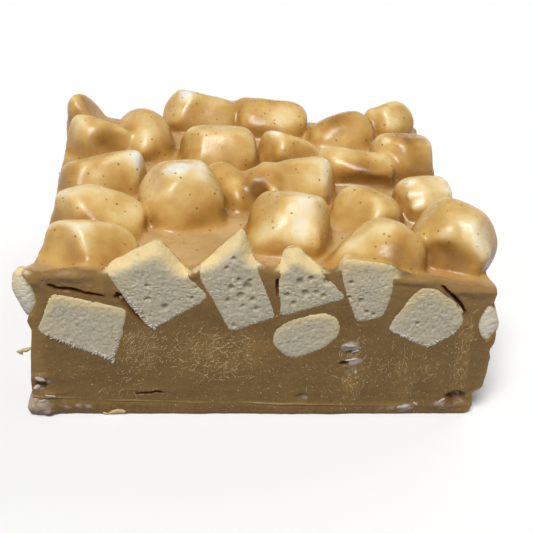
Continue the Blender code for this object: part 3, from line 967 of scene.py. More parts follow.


def marked(points, spots):
    """The amount that a list of marked parts gives to each point of the front cut."""
    x, _, z = points.T
    look = np.zeros(len(points), np.float32)
    for (px, pz), (wide, tall), amount in spots:
        away = np.hypot((x - px) / wide, (z - pz) / tall)
        look = np.maximum(look, amount * np.clip(1.6 - away**2, 0, 1))
    return look


def cut_look(points):
    """How dry and pale, bloomed with sugar, and damp the butterscotch looks in the front cut. The damp mark
    also holds painted shade in two holes, and the dry mark painted light at the ends of the cut and a
    painted highlight along the crease's lip.
    """
    x, y, z = points.T
    flat = points * (1, 0, 1)
    front = y < FRONT + FRONT_SKIN
    patchy = np.clip(0.5 + waves(flat, PATCHY_SWELLS), 0, 1)
    bloom = marked(points, BLOOM) * patchy
    looks = {
        "bloom": front * bloom * ramp(bloom, *BLOOM_SHOWS),
        "damp_and_hole_shade": front * marked(points, DAMP_AND_HOLE_SHADE) * (0.7 + 0.3 * patchy),
    }
    haze = np.clip(ripple(points, 5.5, 2) - 0.1, 0, 1) * np.clip(0.4 + ripple(points, 0.9, 3), 0, 1)
    dry = np.where(front, marked(points, HAZE) * patchy, SIDE_HAZE * haze)
    below = read_off(FRONT_RIM, x) - z
    dry = np.clip(dry + RIM_PALENESS * hump(np.maximum(below, 0), RIM_PALE_REACH, 1.5), 0, 1)
    # paler by the left and right ends: painted light on the corners
    edge = np.minimum(*(np.abs(side * x - side_x(side, y, z)) for side in (-1, 1)))
    dry = np.clip(dry + END_PAINTED_LIGHT * hump(edge, END_LIGHT_REACH, 1), 0, 1)
    above, clear = crease(flat)
    # the pale line along the crease's lip is a painted highlight
    looks["dry"] = np.maximum(dry, front * clear * hump(above - LIP, LIP_HIGHLIGHT))
    seams = [hump(polyline(x, z, places)[0], half + SEAM_REACH, 4) for places, half, _ in CRACKS]
    looks["seam"] = front * np.max(seams, axis=0)
    near = y < FRONT + RIND_SKIN
    rinds = [hump(outline(x[near], z[near], face), RIND_REACH) for face in CUT_FACES]
    looks["rind"] = np.zeros(len(points), np.float32)
    looks["rind"][near] = np.max(rinds, axis=0) * (below[near] < RIND_TOP)
    return looks


FINE_BANDS = ((2.2, 5.8), (25.0, 28.6))  # heights of the crease and the long crack, cut twice as finely
KNIFE_THICK = 8.0


def knife(name, x_range, z_range, step, relief, thick=KNIFE_THICK):
    """A closed block whose near face is the front cut with its relief, ready to cut with."""
    columns = int(round((x_range[1] - x_range[0]) / step)) + 1
    rows = int(round((z_range[1] - z_range[0]) / step)) + 1
    heights = np.linspace(*z_range, rows)
    between = heights[:-1] + np.diff(heights) / 2
    fine = np.any([(between > low) & (between < high) for low, high in FINE_BANDS], axis=0)
    heights = np.sort(np.concatenate((heights, between[fine])))
    rows = len(heights)
    x, z = np.meshgrid(np.linspace(*x_range, columns), heights)
    y = FRONT - relief(x, z)
    place = np.stack((x, y, z), axis=-1).reshape(-1, 3)
    number = np.arange(rows * columns).reshape(rows, columns)
    quads = np.stack((number[:-1, :-1], number[1:, :-1], number[1:, 1:], number[:-1, 1:]), axis=-1)
    ring = np.concatenate((number[0, :-1], number[:-1, -1], number[-1, :0:-1], number[:0:-1, 0]))
    back = place[ring].copy()
    back[:, 1] = FRONT - thick
    outer = len(place) + np.arange(len(ring))
    next_ring, next_outer = np.roll(ring, -1), np.roll(outer, -1)
    sides = np.stack((ring, next_ring, next_outer, outer), axis=1)
    faces = [tuple(quad) for quad in quads.reshape(-1, 4)] + [tuple(quad) for quad in sides]
    faces.append(tuple(outer))
    return plain_object(name, np.concatenate((place, back)), faces)


def plain_object(name, place, faces):
    """An object in the frame's place, from points in millimetres."""
    mesh = bpy.data.meshes.new(name)
    mesh.from_pydata((np.asarray(place) * MM).tolist(), [], [tuple(map(int, face)) for face in faces])
    mesh.update()
    item = bpy.data.objects.new(name, mesh)
    bpy.context.scene.collection.objects.link(item)
    return item


def remove_object(item):
    mesh = item.data
    bpy.data.objects.remove(item)
    bpy.data.meshes.remove(mesh)


def cut_with(item, cutter):
    """Cuts one closed object with another, and drops the cutter."""
    cut = item.modifiers.new("cut", "BOOLEAN")
    cut.operation = "DIFFERENCE"
    cut.solver = "MANIFOLD"
    cut.object = cutter
    graph = bpy.context.evaluated_depsgraph_get()
    carved = bpy.data.meshes.new_from_object(item.evaluated_get(graph))
    item.modifiers.clear()
    old = item.data
    item.data = carved
    bpy.data.meshes.remove(old)
    remove_object(cutter)
    if len(carved.polygons) == 0:
        raise RuntimeError(f"cutting {item.name} left nothing")


def points_of(mesh):
    flat = np.empty(len(mesh.vertices) * 3, np.float32)
    mesh.vertices.foreach_get("co", flat)
    return flat.reshape(-1, 3) / MM


def add_value(mesh, name, values):
    layer = mesh.attributes.new(name, "FLOAT", "POINT")
    layer.data.foreach_set("value", np.asarray(values, np.float32))


BASE_HEIGHT = 0.02  # points lower than this lie in the base, mm


def flatten_base(mesh):
    """One flat face in place of the base's many."""
    shape = bmesh.new()
    shape.from_mesh(mesh)
    base = [face for face in shape.faces if all(vert.co.z < BASE_HEIGHT * MM for vert in face.verts)]
    bmesh.ops.dissolve_faces(shape, faces=base)
    shape.to_mesh(mesh)
    shape.free()


# Angles from which an edge is drawn sharp
SQUARE_SHARP, FACE_SHARP, SIDE_SHARP = (math.radians(angle) for angle in (42, 60, 50))


def place_piece(item, nodes, materials):
    """Puts a finished piece in the frame for the nodes it stands for."""
    item.data.shade_smooth()
    item.data.materials.clear()
    for material in materials:
        item.data.materials.append(material)
    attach(item, BODY)
    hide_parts(*nodes)


# Materials


SHARE, UNDER, OVER, MIXED = 0, 6, 7, 2  # a Mix node's sockets for colours: three inputs and the output


def set_inputs(tree, node, inputs):
    """Links the inputs that are given a socket, and sets the others."""
    for name, value in inputs.items():
        if isinstance(value, bpy.types.NodeSocket):
            tree.links.new(value, node.inputs[name])
        else:
            node.inputs[name].default_value = value


def add_node(tree, kind, inputs, stops=(), **settings):
    """Adds a node with its settings and links, and with the stops of its colour ramp if it has one."""
    node = tree.nodes.new(f"ShaderNode{kind}")
    for name, value in settings.items():
        setattr(node, name, value)
    for _ in stops[2:]:
        node.color_ramp.elements.new(0.5)
    for index, (place, colour) in enumerate(stops):
        element = node.color_ramp.elements[index]
        element.position, element.color = place, colour
    set_inputs(tree, node, inputs)
    return node


def new_material(name):
    material = bpy.data.materials.new(name)
    material.use_nodes = True
    return material, material.node_tree


def finished(material, inputs):
    """Gives a material's shader its inputs."""
    set_inputs(material.node_tree, material.node_tree.nodes["Principled BSDF"], inputs)
    return material


def pattern(tree, kind, size, **inputs):
    """A noise or a pattern of cells, laid on the piece itself, with its scale from a real size in mm."""
    spot = add_node(tree, "TexCoord", {}).outputs["Object"]
    return add_node(tree, kind, {"Vector": spot, "Scale": 1 / (size * MM), **inputs})


def mottled(tree, size, detail, roughness, stops):
    """Colours that run into one another in swells of about a size in mm."""
    noise = pattern(tree, "TexNoise", size, Detail=detail, Roughness=roughness)
    return add_node(tree, "ValToRGB", {"Fac": noise.outputs["Fac"]}, stops).outputs["Color"]


def drift(tree, size, detail, roughness, before, after=(0, 1)):
    """A value that drifts in swells of about a size in mm. A range of the noise becomes another range."""
    noise = pattern(tree, "TexNoise", size, Detail=detail, Roughness=roughness)
    inputs = {"Value": noise.outputs["Fac"], "From Min": before[0], "From Max": before[1]}
    inputs |= {"To Min": after[0], "To Max": after[1]}
    return add_node(tree, "MapRange", inputs).outputs[0]


def uneven(tree, size, detail, roughness, strength, height):
    """A fine unevenness of the surface, with swells of about a size, and with a height, in mm."""
    noise = pattern(tree, "TexNoise", size, Detail=detail, Roughness=roughness)
    inputs = {"Height": noise.outputs["Fac"], "Strength": strength, "Distance": height * MM}
    return add_node(tree, "Bump", inputs).outputs[0]


def specks(tree, spacing, radius, share):
    """Flecks of burnt sugar: 1 inside a fleck. Millimetres, and the share of the cells that hold one."""
    cells = pattern(tree, "TexVoronoi", spacing)
    edge = radius / spacing
    inputs = {"Value": cells.outputs["Distance"], "From Min": edge * 0.7, "From Max": edge * 1.3}
    dot = add_node(tree, "MapRange", inputs | {"To Min": 1.0, "To Max": 0.0}).outputs[0]
    drawn = add_node(tree, "SeparateColor", {"Color": cells.outputs["Color"]}).outputs[0]
    held = add_node(tree, "Math", {0: drawn, 1: share}, operation="LESS_THAN").outputs[0]
    return add_node(tree, "Math", {0: dot, 1: held}, operation="MULTIPLY").outputs[0]


def layered(tree, colour, *layers):
    """Lays thin colours over another. Each has a socket or a mark on the mesh, a strength and a colour."""
    for where, strength, code in layers:
        if isinstance(where, str):
            where = add_node(tree, "Attribute", {}, attribute_name=where).outputs["Fac"]
        share = add_node(tree, "Math", {0: where, 1: strength}, operation="MULTIPLY").outputs[0]
        inputs = {SHARE: share, UNDER: colour, OVER: rgba(code)}
        colour = add_node(tree, "Mix", inputs, data_type="RGBA").outputs[MIXED]
    return colour


def poured_butterscotch(settings):
    """Poured butterscotch fudge that set glossy: cream where thin, ochre where thick, tan in the pool. Some
    patches of the coat are painted highlights and painted shade.
    """
    material, tree = new_material("poured_butterscotch")
    coat, wet = (
        add_node(tree, "Attribute", {}, attribute_name=name).outputs["Fac"] for name in ("coat", "wet")
    )
    cloud = drift(tree, 2.4, 5.0, 0.65, (0, 1), (-0.13, 0.13))
    depth = add_node(tree, "Math", {0: coat, 1: cloud}, operation="ADD").outputs[0]
    stops = [
        (0.0, rgba("F5F0E0")),
        (0.14, rgba("EFE2C0")),
        (0.3, rgba("EBD298")),
        (0.5, (*settings.coat_colour, 1)),
        (0.72, rgba("B98B45")),
        (1.0, rgba("875C22")),
    ]
    coating = add_node(tree, "ValToRGB", {"Fac": depth}, stops).outputs["Color"]
    pool = settings.pool_colour
    stops = [(0.3, tinted(pool, 0.86, 0.84, 0.8)), (0.7, tinted(pool, 1.08, 1.1, 1.14))]
    inputs = {SHARE: wet, UNDER: coating, OVER: mottled(tree, 7.0, 4.0, 0.55, stops)}
    colour = add_node(tree, "Mix", inputs, data_type="RGBA").outputs[MIXED]
    return finished(material, {
        "Base Color": layered(
            tree, colour, (specks(tree, 1.7, 0.22, 0.75), 0.75, "6B4217"), ("rim", 1, "9C733E")
        ),
        "Roughness": drift(tree, 2.2, 3.0, 0.5, (0.35, 0.65), (0.25, 0.37)),
        "IOR": 1.47,
        "Subsurface Weight": 0.15,
        "Subsurface Radius": (1.0, 0.6, 0.3),
        "Subsurface Scale": 1.2 * MM,
        "Normal": uneven(tree, 1.6, 5.0, 0.65, 0.45, 0.14),
    })


def cut_butterscotch(settings):
    """Butterscotch fudge bared by a knife: waxy brown, paler at its rim, flecked with burnt sugar. It
    carries painted shade in two holes, and painted light at its ends and along the crease's lip.
    """
    material, tree = new_material("cut_butterscotch")
    cut = settings.cut_colour
    stops = [(0.3, tinted(cut, 0.86, 0.85, 0.82)), (0.7, tinted(cut, 1.12, 1.13, 1.15))]
    # The real grit is finer, and is drawn as coarse as it needs to show
    grit = drift(tree, 0.4, 3.0, 0.7, (0.5, 0.72))
    # the damp layer holds painted shade in two holes; the dry layer holds painted light at the ends and a
    # painted highlight along the crease's lip
    colour = layered(
        tree, mottled(tree, 5.0, 6.0, 0.65, stops),
        ("damp_and_hole_shade", 1, "5B3A1C"), (grit, 0.4, "AE9060"), ("dry", 1, "A8824A"), ("bloom", 1, "C6B9B4"),
        ("rind", 1, "D8C494"), ("seam", 0.8, "78481F"), (specks(tree, 1.9, 0.17, 0.45), 0.7, "41270F"),
    )
    return finished(material, {
        "Base Color": colour,
        "Roughness": 0.48,
        "IOR": 1.46,
        "Normal": uneven(tree, 0.6, 4.0, 0.6, 0.5, 0.12),
    })


def marshmallow_foam(settings):
    """Whipped sugar foam, sliced open: chalky white, yellower under its coat. Its fine mottle is painted
    highlight and shade on the bubbles, and its large pores are darkened with painted shade.
    """
    material, tree = new_material("marshmallow_foam")
    foam = settings.colour
    stops = [
        (0.34, tinted(foam, 0.76, 0.73, 0.66)),
        (0.5, tinted(foam, 0.98, 0.98, 0.97)),
        (0.68, tinted(foam, 1.2, 1.2, 1.24)),
    ]
    # The real bubbles are finer, and are drawn as coarse as they need to show
    bubbles = (0.5, 4.0, 0.75)
    wide = drift(tree, 3.4, 3.0, 0.5, (0.4, 0.65))
    # the mottle follows the same noise as the bump, lighter where it stands up: painted highlight and shade
    # on the bubbles; the pore layer is painted shade in the large pores
    colour = layered(
        tree, mottled(tree, *bubbles, stops),
        (wide, 0.3, "CFC2A0"), ("skin", 0.8, "F4EEDC"), ("cream", 1, "ECD49C"), ("pore", 0.55, "8C7B5E"),
    )
    return finished(material, {
        "Base Color": colour,
        "Roughness": 0.8,
        "IOR": 1.45,
        "Subsurface Weight": 0.2,
        "Subsurface Radius": (1.0, 0.8, 0.6),
        "Subsurface Scale": 0.6 * MM,
        "Normal": uneven(tree, *bubbles, 0.6, 0.14),
    })


def pale_scrape(name, code, roughness):
    """Thin torn butterscotch, foam or sugar bloom: pale, dry and slightly uneven."""
    material, tree = new_material(name)
    base = srgb(code)
    stops = [(0.3, tinted(base, 0.72, 0.72, 0.72)), (0.7, rgba(code))]
    return finished(material, {
        "Base Color": mottled(tree, 1.2, 3.0, 0.5, stops),
        "Roughness": roughness,
        "IOR": 1.46,
        "Normal": uneven(tree, 0.3, 3.0, 0.5, 0.5, 0.08),
    })


def pale_floor(settings):
    """Matt white board under the square: even, with a faint paper mottle."""
    material, tree = new_material("pale_floor")
    base = settings.floor_colour
    stops = [(0.0, tinted(base, 0.99, 0.99, 0.99)), (1.0, (*base, 1))]
    return finished(material, {"Base Color": mottled(tree, 8.0, 2.0, 0.5, stops), "Roughness": 0.9})


# Operators, one for each piece or group of like pieces


class Patch(NamedTuple):
    """Part of the coat that looks thinner, or thicker where the amount is below 0; some of them are painted
    highlights and painted shade. Millimetres.
    """

    place: tuple
    reach: float
    amount: float


# At 0.45 and above the marshmallow is bare, with a sharper edge
# Most patches are thin or syrupy coat; those marked below are painted highlights and painted shade
PATCHES_AND_PAINTED_LIGHT = [
    Patch((-34.6, 31.0, 33.0), 5.0, -0.2),  # the spike, all syrupy
    Patch((-14.4, 33.0, 36.9), 2.3, 0.5),
    Patch((-16.6, 31.0, 34.6), 3.2, 0.18),
    Patch((-6.0, 30.0, 34.0), 3.4, -0.1),
    Patch((4.0, 27.6, 34.0), 2.8, 0.2),
    Patch((9.0, 28.6, 34.2), 3.0, 0.2),
    Patch((6.0, 32.0, 35.0), 2.4, -0.12),
    Patch((21.0, 20.6, 31.6), 2.6, 0.22),
    Patch((23.0, 25.6, 34.0), 4.0, -0.1),
    Patch((34.0, 26.6, 33.8), 2.6, 0.24),
    Patch((28.4, 30.0, 34.0), 1.8, 0.22),
    Patch((-24.8, 13.5, 33.4), 2.6, 0.28),
    # painted shade on the ridge's front slope, which turns from the light
    Patch((-30.6, 13.2, 33.4), 3.4, -0.34),
    Patch((-32.0, 17.0, 35.6), 2.0, 0.1),
    Patch((-20.4, 15.0, 34.0), 2.0, 0.16),
    Patch((5.4, 16.6, 34.6), 1.9, 0.4),
    Patch((11.0, 12.2, 31.6), 2.6, -0.14),
    Patch((19.4, 6.4, 35.4), 3.0, 0.16),
    Patch((27.0, 5.0, 34.8), 3.0, 0.14),
    # these two are painted shade under the crescent's overhang
    Patch((22.6, 1.6, 31.2), 3.8, -0.45),
    Patch((28.6, 1.0, 30.6), 3.0, -0.3),
    Patch((32.2, 10.4, 36.6), 3.0, -0.26),
    Patch((-21.9, -0.2, 33.6), 2.8, 0.42),
    Patch((-24.0, 1.8, 34.6), 3.2, 0.26),
    Patch((-34.0, -1.0, 33.8), 3.0, -0.08),
    Patch((-30.6, -16.4, 35.6), 3.6, 0.2),
    Patch((-35.4, -15.6, 34.8), 2.6, 0.26),
    Patch((-24.4, -19.6, 32.2), 3.0, 0.24),
    Patch((-15.9, -12.0, 39.2), 2.7, 0.55),
    Patch((-11.8, -11.6, 39.0), 2.4, 0.3),
    Patch((-16.0, -18.4, 34.0), 3.6, -0.04),
    Patch((14.8, -4.8, 35.6), 3.8, 0.3),
    Patch((0.0, -9.2, 33.8), 3.0, -0.32),
    Patch((-4.0, -6.6, 33.6), 1.8, 0.16),
    Patch((7.4, -19.6, 38.0), 2.2, 0.34),
    Patch((7.4, -24.0, 37.6), 2.3, 0.36),
    Patch((7.4, -27.4, 35.4), 2.3, 0.34),
    Patch((6.8, -29.2, 32.0), 2.2, 0.26),
    Patch((-31.3, -30.8, 35.8), 2.0, 0.24),
    Patch((-31.8, -34.0, 33.4), 1.8, 0.26),
    Patch((-32.4, -36.6, 30.4), 1.6, 0.26),
    Patch((-26.6, -33.6, 33.4), 3.0, -0.12),
    Patch((30.2, -10.0, 35.4), 2.8, 0.22),
    Patch((36.6, -9.0, 35.2), 2.8, 0.28),
    Patch((31.0, -12.8, 32.6), 2.4, 0.2),
    Patch((40.0, -33.2, 34.0), 3.4, 0.3),
    Patch((37.0, -31.0, 36.2), 2.4, 0.18),
    # darker in the hollow at the overhanging one's front: thicker coat, and painted shade
    Patch((33.4, -34.0, 31.4), 3.4, -0.24),
    Patch((21.4, -31.4, 36.4), 2.4, 0.24),
    Patch((15.0, -31.4, 33.0), 2.8, 0.2),
    Patch((24.2, -34.0, 33.6), 3.4, -0.25),
    Patch((6.8, -6.3, 34.8), 3.2, -0.12),
    Patch((33.3, 7.6, 35.0), 3.6, -0.22),
    Patch((20.8, 25.3, 33.6), 3.6, -0.24),
    Patch((-24.2, -21.0, 31.3), 2.4, -0.1),
    Patch((-12.7, 30.2, 33.6), 2.6, -0.15),
    # the next three are painted highlights: on the ridge's left face, on the back corner one and on the
    # long one at the left
    Patch((-36.9, 16.8, 34.4), 2.6, 0.3),
    Patch((34.1, 27.6, 33.1), 2.2, 0.16),
    Patch((-31.8, -3.1, 32.6), 2.6, 0.28),
    Patch((3.1, 27.8, 32.5), 2.0, -0.12),
    # these two are painted light on front faces that catch it: low on the centre left one, and on the left
    # of the bright one
    Patch((-16.6, -18.8, 31.4), 3.6, 0.24),
    Patch((0.6, -26.4, 32.0), 3.6, 0.24),
    Patch((33.6, 12.8, 35.8), 3.0, -0.2),
    Patch((-36.7, -31.4, 30.3), 3.0, 0.1),
    Patch((24.0, -35.0, 34.2), 2.6, -0.1),
    Patch((3.1, 27.8, 32.5), 3.0, -0.16),
    Patch((-36.3, 33.0, 34.3), 3.0, -0.14),
    Patch((33.0, 6.4, 34.8), 2.6, -0.14),
]
BARE = 0.45
ON_CUT = 0.14  # how close to a cut a face counts as part of it, mm
CUT_INTO = 0.12  # how far inside the poured surface the faces lie that the knife made
UNDER_RIM = 0.3  # how far above the pool the sides look cut
HANG_CLEAR, HANG_DROP = 0.8, 4.0  # round the overhanging marshmallow, and below the pool, it keeps its coat
BASE_EDGE = 0.5
RIM_LOOK, RIM_LOOK_REACH = 0.75, 1.5  # how brown the poured rim is along the front, and how far back
BEND_REACH = 1.4  # how far apart the coat's bend is felt, mm
PLAIN_DEPTH = 0.54
WETTING = (0.2, 1.7)  # how far from the coat of a marshmallow the pool begins to look wet, mm
CREST_THINNING, CREST = 0.32, (0.3, 1.1)  # the coat runs off what is domed, with how sharp a bend
DIP_THICKENING, DIP = 0.06, (0.05, -0.45)  # and gathers in what is hollow
DEPTH_SWELLS = ((0.13, 5.0, 1), (0.06, 1.9, 2))
HEIGHT_THINNING, MIDDLE_HEIGHT = 0.012, 33.0  # for each mm above a middling height
SLOPE_THICKENING = 0.2  # syrup gathers on the steep sides
STEEP, HIGH = (0.75, 0.25), (35.5, 31.5)  # the slopes and the heights between which that sets in
THIN_SWELLS = ((0.12, 1.6, 3),)


def coat_look(points, rule):
    """How thick the coat looks: 0 bare, 0.5 plain, 1 syrupy, with some patches that are painted highlights
    and painted shade. And where the pool wets it, from 0 to 1.
    """
    skin = np.full(len(points), FAR, np.float32)
    for sweet in [*TOP, OVERHANGING]:
        near = about(points, sweet)
        skin[near] = np.minimum(skin[near], shaped(points[near], sweet))
    near = by_front(points)
    for face in CUT_FACES:
        skin[near] = np.minimum(skin[near], cut_sweet(points[near], face))
    wet = ramp(skin - rule.coat, *WETTING)
    ways = np.eye(3)
    bend = sum(rule(points + BEND_REACH * side * way) for way in ways for side in (-1, 1))
    bend = (bend - 6 * rule(points)) / BEND_REACH**2
    rise = (rule(points + ways[2]) - rule(points - ways[2])) / 2
    height = points[:, 2]
    depth = PLAIN_DEPTH + waves(points, DEPTH_SWELLS) - HEIGHT_THINNING * (height - MIDDLE_HEIGHT)
    depth -= CREST_THINNING * ramp(bend, *CREST)
    depth += DIP_THICKENING * ramp(bend, *DIP)
    depth += SLOPE_THICKENING * ramp(rise, *STEEP) * ramp(height, *HIGH)
    wander = waves(points, THIN_SWELLS)
    for place, reach, amount in PATCHES_AND_PAINTED_LIGHT:
        away = np.linalg.norm(points - np.array(place, np.float32), axis=1) / reach + wander
        depth -= amount * hump(away, power=4 if amount >= BARE else 2)
    return np.clip(depth, 0, 1), wet * wet * (3 - 2 * wet)


def cut_finish(mesh, rule):
    """Which faces of the square the knife bared: those of the cuts and the base, below the coat."""
    centres = (np.array([face.center for face in mesh.polygons]) / MM).astype(np.float32)
    height = centres[:, 2]
    under = height < pool_level(centres) + UNDER_RIM
    left, right, back = past_cuts(centres) > -ON_CUT
    hanging = (shaped(centres, OVERHANGING) < HANG_CLEAR) & (height > POOL_HEIGHT - HANG_DROP)
    rounded = (walls(centres) > -ON_CUT) & (centres[:, 1] > SLAB_DEPTH / 2 - 2 * CORNER_ROUND)
    onto = (rule(centres) < -CUT_INTO) | (rounded & under) | (height < BASE_EDGE)
    return onto | ((((left | right) & under) | back) & ~hanging)


class SQUARE_OT_butterscotch(bpy.types.Operator):
    """Pours the butterscotch, coats the top marshmallows, and cuts the square"""

    bl_idname = "marshmallow_square.butterscotch"
    bl_label = "Butterscotch"

    def execute(self, context):
        settings = context.scene.butterscotch
        rule = Square(settings)
        step = settings.voxel / MM
        half = SLAB_WIDTH / 2 + 5
        low, high = (-half, FRONT - OVERCUT - 2, -1), (half, SLAB_DEPTH / 2 + 2, HIGHEST)
        place, quads = net_of(rule, low, high, step)
        smooth = settle(place, rule)
        smooth[:, 2] = np.where(place[:, 2] < step * 0.6, 0, smooth[:, 2])
        item = plain_object("butterscotch_square", smooth, quads)
        cut_with(item, knife("knife", (-half, half), (-3, HIGHEST), settings.knife_step / MM, front_relief))
        mesh = item.data
        flatten_base(mesh)
        points = points_of(mesh)
        coat, wet = coat_look(points, rule)
        add_value(mesh, "coat", coat)
        add_value(mesh, "wet", wet)
        below_crest = points[:, 2] < pool_level(points) + 2 * UNDER_RIM
        add_value(mesh, "rim", RIM_LOOK * near_front(points[:, 1], RIM_LOOK_REACH) * below_crest)
        for name, values in cut_look(points).items():
            add_value(mesh, name, values)
        bared = cut_finish(mesh, rule).astype(np.int32)
        finishes = [poured_butterscotch(settings), cut_butterscotch(settings)]
        place_piece(item, ["butterscotch"], finishes)
        mesh.polygons.foreach_set("material_index", bared)
        mesh.set_sharp_from_angle(angle=SQUARE_SHARP)
        return {"FINISHED"}


FOAM_SWELLS = ((0.08, 3.4, 0), (0.04, 1.1, 1), (0.05, 0.45, 2))
PROUD_REACH, DOME_REACH = 0.5, 1.6  # how far inside its edge a bared face has risen and rounded, mm
EDGE_DIP, EDGE_DIP_REACH = 0.12, 0.2  # how far the knife presses the edge in
PORE_TALL = 0.82  # the width of a large pore, from its height
FINE_PIT, LARGE_PIT = 0.6, 1.3  # widths of the fine and the large pores, from the usual width
FINE_PIT_DEPTH, LARGE_PIT_DEPTH = 0.16, 0.38
PIT_SPACING = 1.5  # cells of the pores, from their width
DRAWN = 64  # cells each way before the drawn pores repeat


def foam_relief(face, settings, seed):
    """Relief of a bared marshmallow: springy, finely pitted, and lower at its edge."""
    proud, pore = settings.proud / MM, settings.pore / MM

    def relief(x, z):
        flat = np.stack((x.ravel(), np.zeros(x.size), z.ravel()), axis=1)
        inward = np.maximum(-outline(x, z, face), 0)
        rise = proud * (1 - hump(inward, PROUD_REACH, 1)) - EDGE_DIP * hump(inward, EDGE_DIP_REACH, 1)
        rise -= shoulder(x, z, face) + face.dome * hump(inward, DOME_REACH, 1)
        rise += waves(flat, FOAM_SWELLS, seed).reshape(x.shape)
        rise -= FINE_PIT_DEPTH * pits(x, z, FINE_PIT * pore, seed)
        return rise - LARGE_PIT_DEPTH * pores_of(x, z, face, pore, seed)

    return relief


def pores_of(x, z, face, pore, seed):
    """How deep the large pores are in a bared marshmallow, from 0 to 1."""
    deepest = pits(x, z, LARGE_PIT * pore, seed + 3, face.pores)
    for node, (px, pz), width in PORES:
        if node == face.node:
            away = np.hypot(x - px, (z - pz) * PORE_TALL)
            deepest = np.maximum(deepest, hump(away, width / 2, 4))
    return deepest


def pits(x, z, width, seed, share=1.0):
    """Pores as rounded pits, one in each of a share of the cells, from 0 to 1 deep."""
    spacing = width * PIT_SPACING
    u, v = x / spacing, z / spacing
    home_u, home_v = np.floor(u).astype(int), np.floor(v).astype(int)
    draw = np.random.RandomState(seed + 40).uniform(0, 1, (DRAWN, DRAWN, 4))
    deepest = np.zeros(x.shape)
    for du, dv in itertools.product((-1, 0, 1), repeat=2):
        drawn = draw[(home_u + du) % DRAWN, (home_v + dv) % DRAWN]
        across, up, large, chance = np.moveaxis(drawn, -1, 0)
        away = np.hypot(u - home_u - du - across, v - home_v - dv - up) * spacing
        radius = width / 2 * (0.5 + 0.6 * large)
        pit = np.clip(1 - (away / radius) ** 2, 0, 1) * (0.3 + 0.7 * large)
        deepest = np.maximum(deepest, pit * (chance < share))
    return deepest


def cream_of(points, face):
    """Where a bared marshmallow is yellowed: at its edge, above the middle of its face."""
    x, _, z = points.T
    inward = np.maximum(-outline(x, z, face), 0)
    high = np.clip(face.share_up(z) * 1.6 - 0.5, 0, 1)
    wander = 1 + 0.6 * ripple(points, 1.7, 1)
    edge = 0.8 * high * hump(inward, 1.5 * wander + 0.2)
    over = shoulder(x, z, face) / SHOULDER
    return np.clip(edge + 1.3 * over**0.7 * wander**0.5, 0, 1)


SKIN_SWELLS = ((0.12, 1.8, 1),)
TORN_SWELLS = ((1.0, 0.9, 2), (0.8, 0.45, 3))
TORN_BELOW = (0.6, 0.1)  # shares of its height between which its edge gets torn
FOAM_MARGIN = 1.5  # how far the blank of a bared marshmallow reaches past the cut
SLICE_THICK = 4.0


def cut_foam(face):
    """The distance rule of a bared marshmallow before the knife, uneven and torn at its lower edge."""

    def rule(points):
        lower = ramp(face.share_up(points[:, 2]), *TORN_BELOW)
        ragged = face.torn * lower * waves(points, TORN_SWELLS)
        edge = cut_sweet(points, face) + waves(points, SKIN_SWELLS) + ragged
        return np.maximum(edge, FRONT - FOAM_MARGIN - points[:, 1])

    return rule


class SQUARE_OT_cut_marshmallows(bpy.types.Operator):
    """Makes the marshmallows that the front cut bares"""

    bl_idname = "marshmallow_square.cut_marshmallows"
    bl_label = "Marshmallows in the front cut"

    def execute(self, context):
        settings = context.scene.foam
        material = marshmallow_foam(settings)
        for seed, face in enumerate(CUT_FACES):
            rule = cut_foam(face)
            corners = np.array(face.corners)
            left, bottom = corners.min(axis=0) - 1
            right, top = corners.max(axis=0) + 1
            low = (left, FRONT - FOAM_MARGIN - 0.7, bottom)
            high = (right, FRONT + face.depth + 1, top)
            place, quads = net_of(rule, low, high, settings.voxel / MM)
            item = plain_object(f"foam_{face.node}", settle(place, rule), quads)
            cut_with(item, knife(
                "slice", (left - 1, right + 1), (bottom - 1, top + 1), settings.step / MM,
                foam_relief(face, settings, seed), SLICE_THICK,
            ))
            points = points_of(item.data)
            x, y, z = points.T
            # where the large pores lie, which the foam material darkens with painted shade
            pores = pores_of(x, z, face, settings.pore / MM, seed) * (y < FRONT + 2)
            add_value(item.data, "cream", cream_of(points, face))
            add_value(item.data, "pore", pores)
            add_value(item.data, "skin", np.full(len(points), min(face.dome, 1)))
            place_piece(item, [f"marshmallow_{face.node}"], [material])
            item.data.set_sharp_from_angle(angle=FACE_SHARP)
        return {"FINISHED"}


# Bundles of pale fibres that the knife dragged up: place, size, count, slant in degrees and its spread
FIBRES = [
    ((-22.0, 14.0), (2.4, 3.4), 210, 62, 40),
    ((-9.0, 14.6), (5.4, 2.4), 330, 28, 65),
    ((-8.0, 9.6), (2.6, 1.6), 70, 40, 80),
    ((17.2, 8.2), (1.2, 4.0), 90, 90, 60),
    ((37.4, 18.8), (1.3, 2.6), 60, 60, 70),
    ((37.6, 10.4), (1.0, 4.0), 70, 85, 30),
    ((27.0, 10.6), (4.6, 3.2), 150, 88, 22),
    ((-33.6, 28.8), (2.6, 0.8), 16, 10, 40),
    ((36.0, 25.8), (3.2, 1.1), 22, 0, 70),
    ((0.0, 11.0), (24.0, 6.0), 460, 70, 90),
    ((-30.0, 5.0), (6.4, 2.2), 24, 10, 60),
]

SIDE_FIBRES = 150
FLECKS = 0.35  # share of the fibres in a bundle that are short, thick flecks
SCATTERED = 0.85  # and of those scattered over the whole cut
WIDE_BUNDLE = 20.0  # a bundle with a larger half width than this is a scattered one, mm
FIBRE_POINTS = 6
CLEAR = 0.4  # how far the fibres stay from the rim and the base, mm
CUT_REACH = 41.0  # and how far they go to the left and right
FIBRE_TURN = 0.32  # how far a fibre turns at each step, radians
HIGHEST_DRAG = 0.9  # relief that a fibre doesn't climb over, mm
THREAD_END = 0.25  # share of its radius that a thread keeps at its ends

